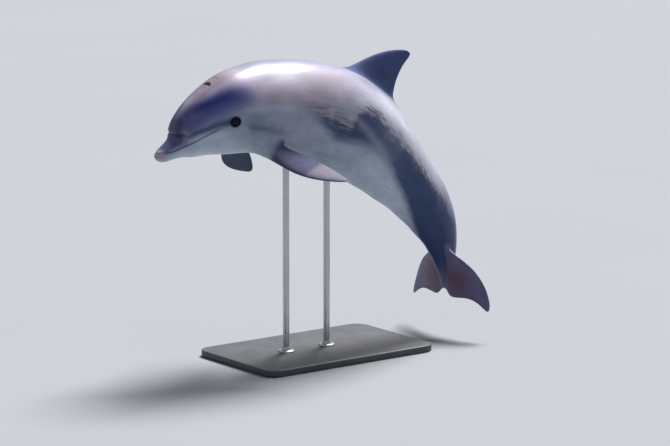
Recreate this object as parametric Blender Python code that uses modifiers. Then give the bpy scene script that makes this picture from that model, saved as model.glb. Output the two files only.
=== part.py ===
"""Life-size model of a leaping bottlenose dolphin, held over a flat base by two upright rods.

The body is modelled whole: a coarse cage of rings along a bent spine, with the fins, flippers and flukes
grown out of patches in it, is smoothed by subdivision. Thin cuts then part it into its named pieces.
Metres, +Z up. The beak points along -X and the animal's right side faces +Y.
"""

import math

import bmesh
import bpy
import numpy as np
from mathutils import Matrix, Vector

# ---------------------------------------------------------------- driving dimensions
LENGTH = 2.10  # beak tip to the notch between the flukes, along the body
GAP = 0.0003  # clear space between two pieces that meet
SMOOTHING = 1  # subdivision levels of the finished solids
SUBDIVISION_SHRINK = 1.016  # the cage stands this much proud of the skin it makes

EYE_RADIUS = 0.0165
EYE_ALONG = 0.157  # share of LENGTH
EYE_ANGLE = 83.0  # degrees round the body from the crest of the back
EYE_SUNK = 0.66  # share of the eye's radius that its centre lies under the skin
EYE_SEGMENTS = 14
EYE_RINGS = 8

BASE_LENGTH = 0.90
BASE_WIDTH = 0.56
BASE_THICKNESS = 0.030
BASE_MIDDLE = 0.02  # along X, under the middle of the weight
BASE_CORNER = 0.060
BASE_BEVEL = 0.004
CORNER_STEPS = 4
ROUND = {"affect": "EDGES", "profile": 0.5, "clamp_overlap": True}  # how an edge is bevelled
ROD_RADIUS = 0.014
ROD_SIDES = 24
ROD_POCKET = 0.050  # how far a rod reaches into the belly
ROD_SOCKET = 0.006  # how far a rod is let into the base
RODS = {"front": 0.345, "rear": 0.490}  # where each rod meets the belly, as a share of LENGTH
TAIL_CLEARANCE = 0.130  # from the lowest tip of the flukes down to the floor

# Sections of the straight body: where along it (share of LENGTH), then the height of the back, the depth of
# the belly and the half width at the widest level (shares of LENGTH), and the roundness of the upper and the
# lower half: 2 is an ellipse, less is keeled and more is square.
SECTIONS = {
    "beak_tip": (0.000, 0.0065, 0.0088, 0.0098, 2.0, 2.0),
    "beak_end": (0.006, 0.0100, 0.0134, 0.0158, 2.2, 2.2),
    "beak_middle": (0.028, 0.0145, 0.0181, 0.0218, 2.3, 2.3),
    "beak_root": (0.050, 0.0187, 0.0248, 0.0298, 2.3, 2.2),
    "melon_foot": (0.057, 0.0298, 0.0281, 0.0339, 2.2, 2.2),
    "melon_front": (0.069, 0.0494, 0.0344, 0.0420, 2.1, 2.2),
    "melon_top": (0.105, 0.0675, 0.0461, 0.0559, 2.1, 2.2),
    "eye": (0.155, 0.0848, 0.0655, 0.0697, 2.1, 2.2),
    "nape": (0.200, 0.0946, 0.0763, 0.0769, 2.1, 2.1),
    "shoulder": (0.260, 0.0990, 0.0855, 0.0830, 2.1, 2.1),
    "chest": (0.340, 0.1010, 0.0965, 0.0870, 2.1, 2.1),
    "fin_front": (0.440, 0.1060, 0.1020, 0.0860, 2.0, 2.1),
    "fin_back": (0.560, 0.1010, 0.0975, 0.0755, 1.9, 2.0),
    "vent": (0.690, 0.0715, 0.0755, 0.0545, 1.7, 1.8),
    "stock": (0.800, 0.0675, 0.0555, 0.0342, 1.6, 1.7),
    "stock_end": (0.890, 0.0450, 0.0310, 0.0201, 1.5, 1.6),
    "fluke_root": (0.940, 0.0180, 0.0150, 0.0150, 1.8, 1.8),
    "notch": (0.980, 0.0048, 0.0048, 0.0085, 2.0, 2.0),
}

# Cage rows: each stretch of the body ends at this share of LENGTH and holds this many rows of faces.
STRETCHES = (
    ("beak", 0.050, 3),
    ("brow", 0.072, 3),
    ("head", 0.190, 4),
    ("neck", 0.208, 1),
    ("flipper", 0.268, 2),
    ("chest", 0.440, 3),
    ("dorsal", 0.565, 4),
    ("loin", 0.700, 2),
    ("stock", 0.885, 3),
    ("flukes", 0.968, 3),
    ("notch", 0.980, 1),
)

# Cage columns of one side: degrees round the body from the crest of the back to the keel of the belly.
COLUMNS = (0, 15, 34, 53, 72, 90, 108, 126, 144, 162, 180)
FLIPPER_COLUMN = 8
FLUKE_COLUMN = 5

# How far the body dips below the level at each place along it, in degrees, going from beak to flukes.
DIPS = {
    0.00: -25.0,
    0.08: -22.0,
    0.16: -16.4,
    0.24: -6.5,
    0.32: 5.6,
    0.40: 16.8,
    0.48: 26.9,
    0.56: 36.3,
    0.64: 42.5,
    0.73: 49.5,
    0.82: 60.0,
    0.91: 79.5,
    1.00: 100.8,
}

# Fins: each table gives a measure, as a share of LENGTH, at shares of the fin's span.
DORSAL = {
    "span": 0.1105,
    "rings": (0.11, 0.42, 0.72, 0.93, 1.0),
    "leading": {
        0.0: 0.003, 0.08: 0.011, 0.28: 0.027, 0.49: 0.047, 0.74: 0.076, 0.86: 0.096, 0.96: 0.117,
        1.0: 0.126,
    },
    "trailing": {
        0.0: 0.152, 0.09: 0.149, 0.30: 0.1415, 0.46: 0.137, 0.62: 0.1365, 0.81: 0.1395,
        0.96: 0.1445, 1.0: 0.1430,
    },
    "thickness": {0.0: 0.036, 0.08: 0.029, 0.28: 0.0205, 0.5: 0.0155, 0.8: 0.010, 1.0: 0.0045},
}
FLIPPER = {
    "span": 0.165,
    "rings": (0.16, 0.42, 0.68, 0.90, 1.0),
    "leading": {
        0.0: 0.040, 0.15: 0.0450, 0.33: 0.0520, 0.51: 0.0490, 0.68: 0.0385, 0.83: 0.0235,
        0.94: 0.0120, 1.0: 0.0035,
    },
    "trailing": {
        0.0: -0.003, 0.15: -0.0085, 0.33: -0.0140, 0.51: -0.0155, 0.68: -0.0135, 0.83: -0.0110,
        0.94: -0.0070, 1.0: -0.0035,
    },
    "thickness": {0.0: 0.024, 0.15: 0.0175, 0.4: 0.0125, 0.8: 0.0065, 1.0: 0.0035},
}
# Along, out to the side, up: shares of LENGTH.
FLIPPER_ROOT = {"left": Vector((0.247, 0.066, -0.062)), "right": Vector((0.245, 0.066, -0.062))}
FLIPPER_EDGE = Vector((-0.83, 0.39, -0.40))  # the way the leading edge faces: tailward, out, up
FLIPPER_REACH = {"left": Vector((0.550, 0.690, -0.471)), "right": Vector((0.566, 0.558, -0.620))}
FLUKE = {
    "span": 0.1285,
    "rings": (0.16, 0.42, 0.70, 0.90, 1.0),
    "leading": {
        0.0: 0.868, 0.18: 0.887, 0.30: 0.896, 0.52: 0.911, 0.70: 0.926, 0.83: 0.945, 0.925: 0.967,
        0.98: 0.986, 1.0: 0.9935,
    },
    "trailing": {
        0.0: 0.990, 0.12: 0.9995, 0.24: 0.9985, 0.40: 0.9920, 0.56: 0.9890, 0.68: 0.9895,
        0.78: 0.9945, 0.87: 1.0020, 0.94: 1.0090, 0.98: 1.0105, 1.0: 1.0085,
    },
    "thickness": {0.0: 0.026, 0.24: 0.0165, 0.5: 0.0115, 0.8: 0.0065, 1.0: 0.0035},
}
SIDES = {"left": -1, "right": 1}  # which way each side lies along Y
FLUKE_LIFT = 0.022  # how far a tip of the flukes is flexed towards the back

# The line between the jaws, then the edge of the lower jaw down behind the corner of the mouth: along, up.
MOUTH = {
    -0.03: 0.0075, 0.006: 0.0075, 0.017: 0.005, 0.035: 0.0018, 0.05: 0.002, 0.07: 0.0042,
    0.10: 0.0078, 0.136: 0.0105,
}
MOUTH_STEPS = 9
JAW_BACK = ((0.1405, 0.0085), (0.1440, 0.0020), (0.1480, -0.0120), (0.1520, -0.0300), (0.1560, -0.1000))

# Where the body is parted: right across it, then along the mouth, fins and flukes.
CROSS_CUTS = (0.178, 0.196, 0.306, 0.600, 0.760)
BEAK_CUT = 0.0535
DORSAL_CUT = 0.013  # above the line between the ends of the fin's base
FLIPPER_CUT = 0.18  # share of the flipper's span
FLUKE_CUT = 0.0245  # out from the middle line
FLUKE_CUT_START = 0.862

# A point inside each piece of the straight body: along, out to the animal's right, up.
SEEDS = {
    "upper_jaw": (0.030, 0.0, 0.008),
    "lower_jaw": (0.080, 0.0, -0.025),
    "head": (0.135, 0.0, 0.035),
    "neck": (0.1870, 0.0, 0.008),
    "chest": (0.260, 0.0, 0.005),
    "trunk": (0.450, 0.0, 0.003),
    "loin": (0.675, 0.0, 0.0),
    "tail_stock": (0.840, 0.0, 0.003),
}

# ---------------------------------------------------------------- small helpers


def smooth_curve(knots, at):
    """Values at the places `at` of the smooth curve through the knots, which never overshoots them."""
    x, y = (np.array(column, float) for column in zip(*sorted(knots), strict=True))
    step = np.diff(x)
    slope = np.diff(y) / step
    before, after = 2 * step[1:] + step[:-1], step[1:] + 2 * step[:-1]
    turning = slope[:-1] * slope[1:] <= 0
    safe = np.where(turning, 1.0, slope[:-1]), np.where(turning, 1.0, slope[1:])
    inner = (before + after) / (before / safe[0] + after / safe[1])
    tangent = np.concatenate([[slope[0]], np.where(turning, 0.0, inner), [slope[-1]]])
    at = np.clip(np.asarray(at, float), x[0], x[-1])
    i = np.clip(np.searchsorted(x, at) - 1, 0, len(x) - 2)
    t = (at - x[i]) / step[i]
    return (
        y[i] * (1 + 2 * t) * (1 - t) ** 2
        + tangent[i] * step[i] * t * (1 - t) ** 2
        + y[i + 1] * t * t * (3 - 2 * t)
        - tangent[i + 1] * step[i] * t * t * (1 - t)
    )


def table(knots, at):
    """One value of a table of shares of LENGTH, in metres."""
    return float(smooth_curve(knots.items(), at)) * LENGTH


def section_value(measure, along):
    """One measure of the body's section: back, belly, width, or the roundness of the upper or lower half."""
    index = ("back", "belly", "width", "upper", "lower").index(measure) + 1
    return float(smooth_curve([(row[0], row[index]) for row in SECTIONS.values()], along))


def signed_power(value, power):
    """The value raised to a power with its sign kept."""
    return math.copysign(abs(value) ** power, value)


def section_point(along, degrees, grow=1.0):
    """A point of the straight body's skin, with the degrees counted from the back down the left side."""
    angle = math.radians(degrees)
    upper = math.cos(angle) >= 0
    power = 2 / section_value("upper" if upper else "lower", along)
    height = section_value("back" if upper else "belly", along)
    out = -section_value("width", along) * signed_power(math.sin(angle), power)
    up = height * signed_power(math.cos(angle), power)
    return Vector((along, out * grow, up * grow)) * LENGTH


class Spine:
    """The bent middle line of the body, and the map from the straight body onto it."""

    STEPS = 600

    def __init__(self):
        self.places = np.linspace(-0.06, 1.06, self.STEPS)
        self.dips = np.radians(smooth_curve(DIPS.items(), self.places))
        step = (self.places[1] - self.places[0]) * LENGTH
        heading = np.stack([np.cos(self.dips), np.zeros(self.STEPS), -np.sin(self.dips)], 1)
        path = np.cumsum((heading[1:] + heading[:-1]) / 2 * step, 0)
        self.points = np.concatenate([np.zeros((1, 3)), path])
        self.shift = Vector()

    def frame(self, along):
        """(origin, tailward, rightward, upward) of the body at a share of its length."""
        dip = float(np.interp(along, self.places, self.dips))
        origin = Vector([float(np.interp(along, self.places, self.points[:, i])) for i in range(3)])
        tailward = Vector((math.cos(dip), 0, -math.sin(dip)))
        upward = Vector((math.sin(dip), 0, math.cos(dip)))
        return origin + self.shift, tailward, Vector((0, 1, 0)), upward

    def place(self, point):
        """The posed place of a point of the straight body."""
        origin, _, rightward, upward = self.frame(point.x / LENGTH)
        return origin + rightward * point.y + upward * point.z

    def matrix(self, along):
        """The frame of a place along the body as a matrix: X tailward, Y rightward, Z upward."""
        origin, *axes = self.frame(along)
        return Matrix.Translation(origin) @ Matrix(axes).transposed().to_4x4()


# ---------------------------------------------------------------- fins


def foil(share):
    """Half thickness of a streamlined section at a share of its chord, where the thickest place is 1."""
    curve = 2.969 * math.sqrt(share) - 1.26 * share - 3.516 * share**2 + 2.843 * share**3
    return curve - 1.036 * share**4


def fin_ring(fin, share, cells, put):
    """One ring of a fin: leading edge, one face, trailing edge, other face. put(chord, out, span) places."""
    lead, trail = (table(fin[name], share) for name in ("leading", "trailing"))
    half = table(fin["thickness"], share) / 2
    span = fin["span"] * LENGTH * share
    shares = [(1 - math.cos(math.pi * (j + 0.75) / (cells + 1.5))) / 2 for j in range(cells + 1)]
    near = [put(lead + (trail - lead) * u, foil(u) * half, span) for u in shares]
    far = [put(lead + (trail - lead) * u, -foil(u) * half, span) for u in reversed(shares)]
    return [put(lead, 0, span), *near, put(trail, 0, span), *far]


def frame_matrix(origin, chord, reach):
    """X along the chord, Z along the reach made square to it, Y square to both."""
    chord = chord.normalized()
    reach = (reach - chord * reach.dot(chord)).normalized()
    turn = Matrix((chord, reach.cross(chord), reach)).transposed()
    return Matrix.Translation(origin) @ turn.to_4x4()


def dorsal_matrix(spine, front, back):
    """The frame of the dorsal fin, which stands on the line between two places of the back."""
    first, last = (spine.place(section_point(place, 0)) for place in (front, back))
    return frame_matrix(first, last - first, spine.frame((front + back) / 2)[3])


def flipper_matrix(spine, side):
    """The frame of one flipper, whose chord runs from its leading edge to its trailing edge."""
    at = spine.matrix(FLIPPER_ROOT[side].x)
    root, reach, edge = (
        Vector((way.x, way.y * SIDES[side], way.z))
        for way in (FLIPPER_ROOT[side], FLIPPER_REACH[side], FLIPPER_EDGE)
    )
    reach.normalize()
    root = at @ Vector((0, root.y * LENGTH, root.z * LENGTH))
    turn = at.to_3x3()
    return frame_matrix(root, turn @ -(edge - reach * edge.dot(reach)), turn @ reach)


def fluke_point(spine, side, along, out, span):
    """A posed point of a fluke, which follows the bend of the tail and lifts towards its tip."""
    lift = FLUKE_LIFT * LENGTH * (span / (FLUKE["span"] * LENGTH)) ** 2
    return spine.place(Vector((along, SIDES[side] * span, lift + out)))


# ---------------------------------------------------------------- the cage


class Cage:
    """The whole animal as one closed coarse mesh."""

    def __init__(self, spine):
        self.spine = spine
        self.points, self.faces = [], []
        self.rows, self.marks = [0.0], {}
        for name, end, count in STRETCHES:
            start, first = self.rows[-1], len(self.rows) - 1
            self.rows += [start + (end - start) * (k + 1) / count for k in range(count)]
            self.marks[name] = (first, first + count)
        self.columns = [*COLUMNS, *(360 - degrees for degrees in reversed(COLUMNS[1:-1]))]

    def index(self, row, column):
        """Index of the body's point at a row and a column."""
        return row * len(self.columns) + column % len(self.columns)

    def add_body(self, patches):
        """Adds the rings of the body and its faces, leaving out the patches where fins grow."""
        for along in self.rows:
            for degrees in self.columns:
                self.points.append(self.spine.place(section_point(along, degrees, SUBDIVISION_SHRINK)))
        left_out = {
            (row, column % len(self.columns))
            for first, last, middle in patches
            for row in range(first, last)
            for column in (middle - 1, middle)
        }
        for row in range(len(self.rows) - 1):
            for column in range(len(self.columns)):
                if (row, column) not in left_out:
                    corners = ((row, column), (row, column + 1), (row + 1, column + 1), (row + 1, column))
                    self.faces.append([self.index(*corner) for corner in corners])
        for row in (0, len(self.rows) - 1):
            for column in range(len(self.columns) // 2):
                corners = (column, column + 1, -column - 1, -column)
                self.faces.append(list(dict.fromkeys(self.index(row, corner) for corner in corners)))

    def grow(self, patch, fin, put):
        """Grows a fin out of a patch of the body, ring by ring, and closes its tip."""
        first, last, middle = patch
        down = [self.index(row, middle + 1) for row in range(first, last + 1)]
        back = [self.index(row, middle - 1) for row in range(last, first - 1, -1)]
        ring = [self.index(first, middle), *down, self.index(last, middle), *back]
        for share in fin["rings"]:
            start = len(self.points)
            self.points += fin_ring(fin, share, last - first, put)
            following = list(range(start, len(self.points)))
            for k, corner in enumerate(ring):
                after = (k + 1) % len(ring)
                self.faces.append([corner, ring[after], following[after], following[k]])
            ring = following
        for k in range(len(ring) // 2):
            corners = (ring[k], ring[k + 1], ring[-k - 1], ring[-k])
            self.faces.append(list(dict.fromkeys(corners)))


def dolphin_cage(spine):
    """The cage of the whole animal on a spine."""
    cage = Cage(spine)
    flipper, dorsal, flukes = (cage.marks[name] for name in ("flipper", "dorsal", "flukes"))
    patches = {
        "dorsal": (*dorsal, 0),
        **{f"flipper_{side}": (*flipper, -across * FLIPPER_COLUMN) for side, across in SIDES.items()},
        **{f"fluke_{side}": (*flukes, -across * FLUKE_COLUMN) for side, across in SIDES.items()},
    }
    cage.add_body(patches.values())
    stand = dorsal_matrix(spine, *(cage.rows[row] for row in dorsal))
    cage.grow(patches["dorsal"], DORSAL, lambda x, y, z: stand @ Vector((x, -y, z)))
    for side, across in SIDES.items():
        root = flipper_matrix(spine, side)
        cage.grow(patches[f"flipper_{side}"], FLIPPER, lambda x, y, z: root @ Vector((-x, -y, z)))
        cage.grow(
            patches[f"fluke_{side}"],
            FLUKE,
            lambda x, y, z: fluke_point(spine, side, x, across * y, z),
        )
    return cage


def mesh_object(name, points, faces):
    """An object of these points and faces, all facing out."""
    mesh = bpy.data.meshes.new(name)
    mesh.from_pydata([tuple(point) for point in points], [], faces)
    work = bmesh.new()
    work.from_mesh(mesh)
    bmesh.ops.recalc_face_normals(work, faces=work.faces)
    work.to_mesh(mesh)
    work.free()
    return bpy.data.objects.new(name, mesh)


# ---------------------------------------------------------------- cutters and plain solids


def prism(name, near, far):
    """A closed solid between two outlines of as many points each."""
    count = len(near)
    sides = [[k, (k + 1) % count, count + (k + 1) % count, count + k] for k in range(count)]
    caps = [list(range(count)), list(range(count, 2 * count))]
    return mesh_object(name, [*near, *far], [*sides, *caps])


def cross_cutter(spine, along):
    """A thin disc right across the body."""
    outlines = [
        [
            spine.place(section_point(along, degrees, 1.06) + Vector((offset, 0, 0)))
            for degrees in range(0, 360, 15)
        ]
        for offset in (-GAP / 2, GAP / 2)
    ]
    return prism("cross_cutter", *outlines)


def primitive(name, create, matrix):
    """An object made by one of bmesh's primitives, whose points the matrix then places."""
    mesh = bpy.data.meshes.new(name)
    work = bmesh.new()
    create(work)
    bmesh.ops.transform(work, matrix=matrix, verts=work.verts)
    work.to_mesh(mesh)
    work.free()
    return bpy.data.objects.new(name, mesh)


def slab(name, matrix, low, high):
    """A box between two corners in the axes of a matrix."""
    low, high = Vector(low), Vector(high)
    place = matrix @ Matrix.Translation((low + high) / 2) @ Matrix.Diagonal((*(high - low), 1))
    return primitive(name, lambda work: bmesh.ops.create_cube(work, size=1), place)


def mouth_cutter(spine):
    """A thin ribbon between the jaws that turns down behind the corner of the mouth."""
    places = np.linspace(min(MOUTH), max(MOUTH), MOUTH_STEPS)
    line = [Vector((x, 0, z)) for x, z in zip(places, smooth_curve(MOUTH.items(), places), strict=True)]
    line += [Vector((x, 0, z)) for x, z in JAW_BACK]
    upper, lower = [], []
    for k, point in enumerate(line):
        way = (line[min(k + 1, len(line) - 1)] - line[max(k - 1, 0)]).normalized()
        across = Vector((-way.z, 0, way.x)) * (GAP / 2)
        upper.append(point * LENGTH + across)
        lower.append(point * LENGTH - across)
    outlines = [
        [spine.place(point + Vector((0, side * 0.1 * LENGTH, 0))) for point in (*upper, *reversed(lower))]
        for side in (-1, 1)
    ]
    return prism("mouth_cutter", *outlines)


def cylinder(name, matrix, radius, low, high):
    """A cylinder along the Z axis of a matrix."""
    def create(work):
        sizes = {"radius1": radius, "radius2": radius, "depth": high - low}
        bmesh.ops.create_cone(work, cap_ends=True, segments=ROD_SIDES, **sizes)

    return primitive(name, create, matrix @ Matrix.Translation((0, 0, (low + high) / 2)))


def ball(name, centre, radius):
    """A sphere."""
    def create(work):
        bmesh.ops.create_uvsphere(work, u_segments=EYE_SEGMENTS, v_segments=EYE_RINGS, radius=radius)

    return primitive(name, create, Matrix.Translation(centre))


def eye_centre(spine, side):
    """The middle of an eyeball, a little under the skin."""
    here = section_point(EYE_ALONG, EYE_ANGLE)
    round_body = section_point(EYE_ALONG, EYE_ANGLE + 1) - here
    along_body = section_point(EYE_ALONG + 0.001, EYE_ANGLE) - here
    outward = along_body.cross(round_body).normalized()
    if outward.y > 0:
        outward = -outward
    centre = here - outward * (EYE_RADIUS * EYE_SUNK)
    centre.y *= -SIDES[side]
    return spine.place(centre)


def body_cutters(spine, cage):
    """Everything that parts the body into its pieces, or that makes room for the eyes and the rods."""
    cutters = [cross_cutter(spine, along) for along in CROSS_CUTS]
    cutters.append(mouth_cutter(spine))
    mouth = float(smooth_curve(MOUTH.items(), BEAK_CUT)) * LENGTH
    wide, high, thin = 0.06 * LENGTH, 0.08 * LENGTH, GAP / 2
    cutters.append(slab("beak_cutter", spine.matrix(BEAK_CUT), (-thin, -wide, mouth), (thin, wide, high)))
    stand = dorsal_matrix(spine, *(cage.rows[row] for row in cage.marks["dorsal"]))
    level = DORSAL_CUT * LENGTH
    low, high = (-0.04 * LENGTH, -wide, level - thin), (0.19 * LENGTH, wide, level + thin)
    cutters.append(slab("dorsal_cutter", stand, low, high))
    for side, across in SIDES.items():
        level = FLIPPER_CUT * FLIPPER["span"] * LENGTH
        deep = 0.022 * LENGTH
        low, high = (-0.065 * LENGTH, -deep, level - thin), (0.03 * LENGTH, deep, level + thin)
        cutters.append(slab(f"flipper_{side}_cutter", flipper_matrix(spine, side), low, high))
        cutters.append(fluke_cutter(spine, across))
        cutters.append(ball(f"socket_{side}", eye_centre(spine, side), EYE_RADIUS + GAP))
    for along in RODS.values():
        foot, top = rod_ends(spine, along)
        reach = top.z - foot.z + GAP
        cutters.append(cylinder("pocket", Matrix.Translation(foot), ROD_RADIUS + GAP, 0, reach))
    return cutters


def fluke_cutter(spine, across):
    """A thin strip that follows the bend of the tail beside the middle line, and parts one fluke from it."""
    places = [FLUKE_CUT_START + 0.015 * k for k in range(11)]
    outlines = []
    for offset in (-GAP / 2, GAP / 2):
        out = across * FLUKE_CUT * LENGTH + offset
        edge = [(place, height) for height, run in ((-0.05, places), (0.05, places[::-1])) for place in run]
        outlines.append([spine.place(Vector((x * LENGTH, out, z * LENGTH))) for x, z in edge])
    return prism("fluke_cutter", *outlines)


def rod_ends(spine, along):
    """(foot, top) of a rod: the foot is let into the base, the top reaches into the belly."""
    belly = spine.place(section_point(along, 180))
    foot = Vector((belly.x, belly.y, BASE_THICKNESS - ROD_SOCKET + GAP))
    return foot, Vector((belly.x, belly.y, belly.z + ROD_POCKET))


def rounded_base(centre):
    """The base: a flat plate with rounded corners and a small bevel round its top and bottom."""
    def create(work):
        bmesh.ops.create_cube(work, size=1)
        size = Vector((BASE_LENGTH, BASE_WIDTH, BASE_THICKNESS))
        bmesh.ops.scale(work, vec=size, verts=work.verts)
        upright = [edge for edge in work.edges if edge.verts[0].co.xy == edge.verts[1].co.xy]
        bmesh.ops.bevel(work, geom=upright, offset=BASE_CORNER, segments=CORNER_STEPS, **ROUND)
        level = [edge for edge in work.edges if edge.verts[0].co.z == edge.verts[1].co.z]
        bmesh.ops.bevel(work, geom=level, offset=BASE_BEVEL, segments=1, **ROUND)

    return primitive("stand_base", create, Matrix.Translation(centre + Vector((0, 0, BASE_THICKNESS / 2))))


# ---------------------------------------------------------------- assembly


def finished_mesh(obj, cutters):
    """The object's mesh once its modifiers have run and the cutters have been taken from it."""
    group = bpy.data.collections.new("cutters")
    bpy.context.scene.collection.children.link(group)
    for cutter in cutters:
        group.objects.link(cutter)
    bpy.context.scene.collection.objects.link(obj)
    if cutters:
        cut = obj.modifiers.new("Part", "BOOLEAN")
        cut.operation, cut.solver = "DIFFERENCE", "EXACT"
        cut.operand_type, cut.collection = "COLLECTION", group
    mesh = bpy.data.meshes.new_from_object(obj.evaluated_get(bpy.context.evaluated_depsgraph_get()))
    for helper in (obj, *cutters):
        bpy.data.objects.remove(helper)
    bpy.data.collections.remove(group)
    return mesh


def loose_parts(mesh):
    """(points, faces) of each connected part of a mesh."""
    parent = list(range(len(mesh.vertices)))

    def root(k):
        while parent[k] != k:
            parent[k] = parent[parent[k]]
            k = parent[k]
        return k

    for edge in mesh.edges:
        a, b = (root(k) for k in edge.vertices)
        parent[a] = b
    groups = {}
    for face in mesh.polygons:
        groups.setdefault(root(face.vertices[0]), []).append(list(face.vertices))
    parts = []
    for faces in groups.values():
        used = sorted({corner for face in faces for corner in face})
        place = {old: new for new, old in enumerate(used)}
        corners = [mesh.vertices[k].co.copy() for k in used]
        parts.append((corners, [[place[k] for k in face] for face in faces]))
    return parts


def seeds(spine, cage):
    """A posed point in the middle of each piece of the body."""
    found = {name: spine.place(Vector(point) * LENGTH) for name, point in SEEDS.items()}
    stand = dorsal_matrix(spine, *(cage.rows[row] for row in cage.marks["dorsal"]))
    found["dorsal_fin"] = stand @ (Vector((0.10, 0, 0.05)) * LENGTH)
    for side, across in SIDES.items():
        found[f"flipper_{side}"] = flipper_matrix(spine, side) @ (Vector((-0.015, 0, 0.08)) * LENGTH)
        found[f"fluke_{side}"] = spine.place(Vector((0.95, across * 0.07, 0.006)) * LENGTH)
    return found


def middle(points):
    """The middle of the box round some points."""
    lows, highs = (Vector([pick(point[i] for point in points) for i in range(3)]) for pick in (min, max))
    return (lows + highs) / 2


def named_pieces(parts, wanted):
    """Gives each part the name of the nearest point of those wanted."""
    if len(parts) != len(wanted):
        raise ValueError(f"{len(parts)} pieces for {len(wanted)} names")
    centres = [middle(points) for points, _ in parts]
    named = {}
    for name, point in wanted.items():
        named[name] = min(range(len(parts)), key=lambda k: (centres[k] - point).length)
    if len(set(named.values())) != len(parts):
        raise ValueError(f"two names for one piece: {named}")
    return {name: parts[k] for name, k in named.items()}


def paint(obj, colour, roughness, metallic=0.0):
    """Gives an object a material of its own."""
    material = bpy.data.materials.new(f"{obj.name}_material")
    material.use_nodes = True
    shader = material.node_tree.nodes["Principled BSDF"]
    shader.inputs["Base Color"].default_value = (*colour, 1)
    shader.inputs["Roughness"].default_value = roughness
    shader.inputs["Metallic"].default_value = metallic
    obj.data.materials.clear()
    obj.data.materials.append(material)


PALE, MIDDLE, DARK = (0.42, 0.43, 0.42), (0.22, 0.22, 0.26), (0.055, 0.055, 0.085)
SKIN_ROUGHNESS = 0.3
SKIN_COLOURS = {
    "upper_jaw": MIDDLE,
    "lower_jaw": PALE,
    "head": MIDDLE,
    "neck": MIDDLE,
    "chest": MIDDLE,
    "trunk": MIDDLE,
    "loin": DARK,
    "tail_stock": DARK,
    "dorsal_fin": DARK,
    "flipper_left": MIDDLE,
    "flipper_right": MIDDLE,
    "fluke_left": DARK,
    "fluke_right": DARK,
}


def build_stand(spine):
    """The base and the rods that hold the animal up."""
    ends = {name: rod_ends(spine, along) for name, along in RODS.items()}
    base = rounded_base(Vector((BASE_MIDDLE, spine.shift.y, 0)))
    floor = BASE_THICKNESS - ROD_SOCKET
    sockets = [
        cylinder("socket", Matrix.Translation((foot.x, foot.y, 0)), ROD_RADIUS + GAP, floor, 2 * floor)
        for foot, _ in ends.values()
    ]
    base = bpy.data.objects.new("stand_base", finished_mesh(base, sockets))
    paint(base, (0.03, 0.03, 0.035), 0.45)
    rods = []
    for name, (foot, top) in ends.items():
        rod = cylinder(f"stand_rod_{name}", Matrix.Translation(foot), ROD_RADIUS, 0, top.z - foot.z)
        paint(rod, (0.6, 0.6, 0.62), 0.25, 1.0)
        rods.append(rod)
    return [base, *rods]


def main():
    """Builds the model with the middle of its bounding box's floor at the origin."""
    for obj in list(bpy.data.objects):
        bpy.data.objects.remove(obj)
    spine = Spine()
    points = dolphin_cage(spine).points
    lows, highs = (Vector([pick(point[i] for point in points) for i in range(3)]) for pick in (min, max))
    spine.shift = Vector((-(lows.x + highs.x) / 2, -(lows.y + highs.y) / 2, TAIL_CLEARANCE - lows.z))
    cage = dolphin_cage(spine)
    body = mesh_object("dolphin", cage.points, cage.faces)
    smoother = body.modifiers.new("Smooth", "SUBSURF")
    smoother.levels = smoother.render_levels = SMOOTHING
    parts = loose_parts(finished_mesh(body, body_cutters(spine, cage)))
    pieces = build_stand(spine)
    for name, (corners, faces) in named_pieces(parts, seeds(spine, cage)).items():
        piece = mesh_object(name, corners, faces)
        paint(piece, SKIN_COLOURS[name], SKIN_ROUGHNESS)
        pieces.append(piece)
    for side in SIDES:
        eye = ball(f"eye_{side}", eye_centre(spine, side), EYE_RADIUS)
        paint(eye, (0.01, 0.008, 0.008), 0.08)
        pieces.append(eye)
    for piece in pieces:
        bpy.context.scene.collection.objects.link(piece)


main()
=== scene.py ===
"""Visual model of a life-size leaping dolphin on a plain display stand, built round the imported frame.

One skin is grown from a coarse cage of rings along the bent spine, with the dorsal fin, the flippers and the
flukes grown out of patches in it. It is smoothed, made finer round the mouth, eyes and blowhole, and sculpted
there along its normals. A straight copy of the same mesh gives every point its place on the straightened
body, and the sculpting and the markings are functions of that place. Metres, +Z up, beak towards -X.
"""

import logging
import math
from collections.abc import Callable, Iterable, Sequence
from dataclasses import dataclass, field
from enum import Enum

import bmesh
import bpy
import numpy as np
from mathutils import Matrix, Vector

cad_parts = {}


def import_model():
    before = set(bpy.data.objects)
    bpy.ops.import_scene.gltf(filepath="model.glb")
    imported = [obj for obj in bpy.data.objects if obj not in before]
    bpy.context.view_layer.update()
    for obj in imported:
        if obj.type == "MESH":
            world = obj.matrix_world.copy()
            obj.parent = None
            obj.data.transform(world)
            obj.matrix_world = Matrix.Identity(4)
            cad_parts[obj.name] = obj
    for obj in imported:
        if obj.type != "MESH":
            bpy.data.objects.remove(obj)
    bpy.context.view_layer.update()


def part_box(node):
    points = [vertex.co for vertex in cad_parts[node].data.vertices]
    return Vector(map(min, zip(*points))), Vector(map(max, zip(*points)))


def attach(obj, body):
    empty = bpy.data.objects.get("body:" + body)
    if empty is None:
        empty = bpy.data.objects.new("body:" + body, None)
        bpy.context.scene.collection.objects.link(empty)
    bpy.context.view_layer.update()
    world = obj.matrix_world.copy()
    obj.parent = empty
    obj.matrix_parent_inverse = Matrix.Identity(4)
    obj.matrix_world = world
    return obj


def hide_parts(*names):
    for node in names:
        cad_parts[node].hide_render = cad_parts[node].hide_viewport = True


LOG = logging.getLogger("dolphin")
ROOT = "root"
Array = np.ndarray
Table = dict[float, float]
Span = tuple[float, float]
Profile = Sequence[tuple[float, float]]
Roll = tuple[float, float, float]
Pit = tuple[float, float, float, float]
Triple = tuple[float, float, float]
Put = Callable[[float, float, float], Vector]
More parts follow.
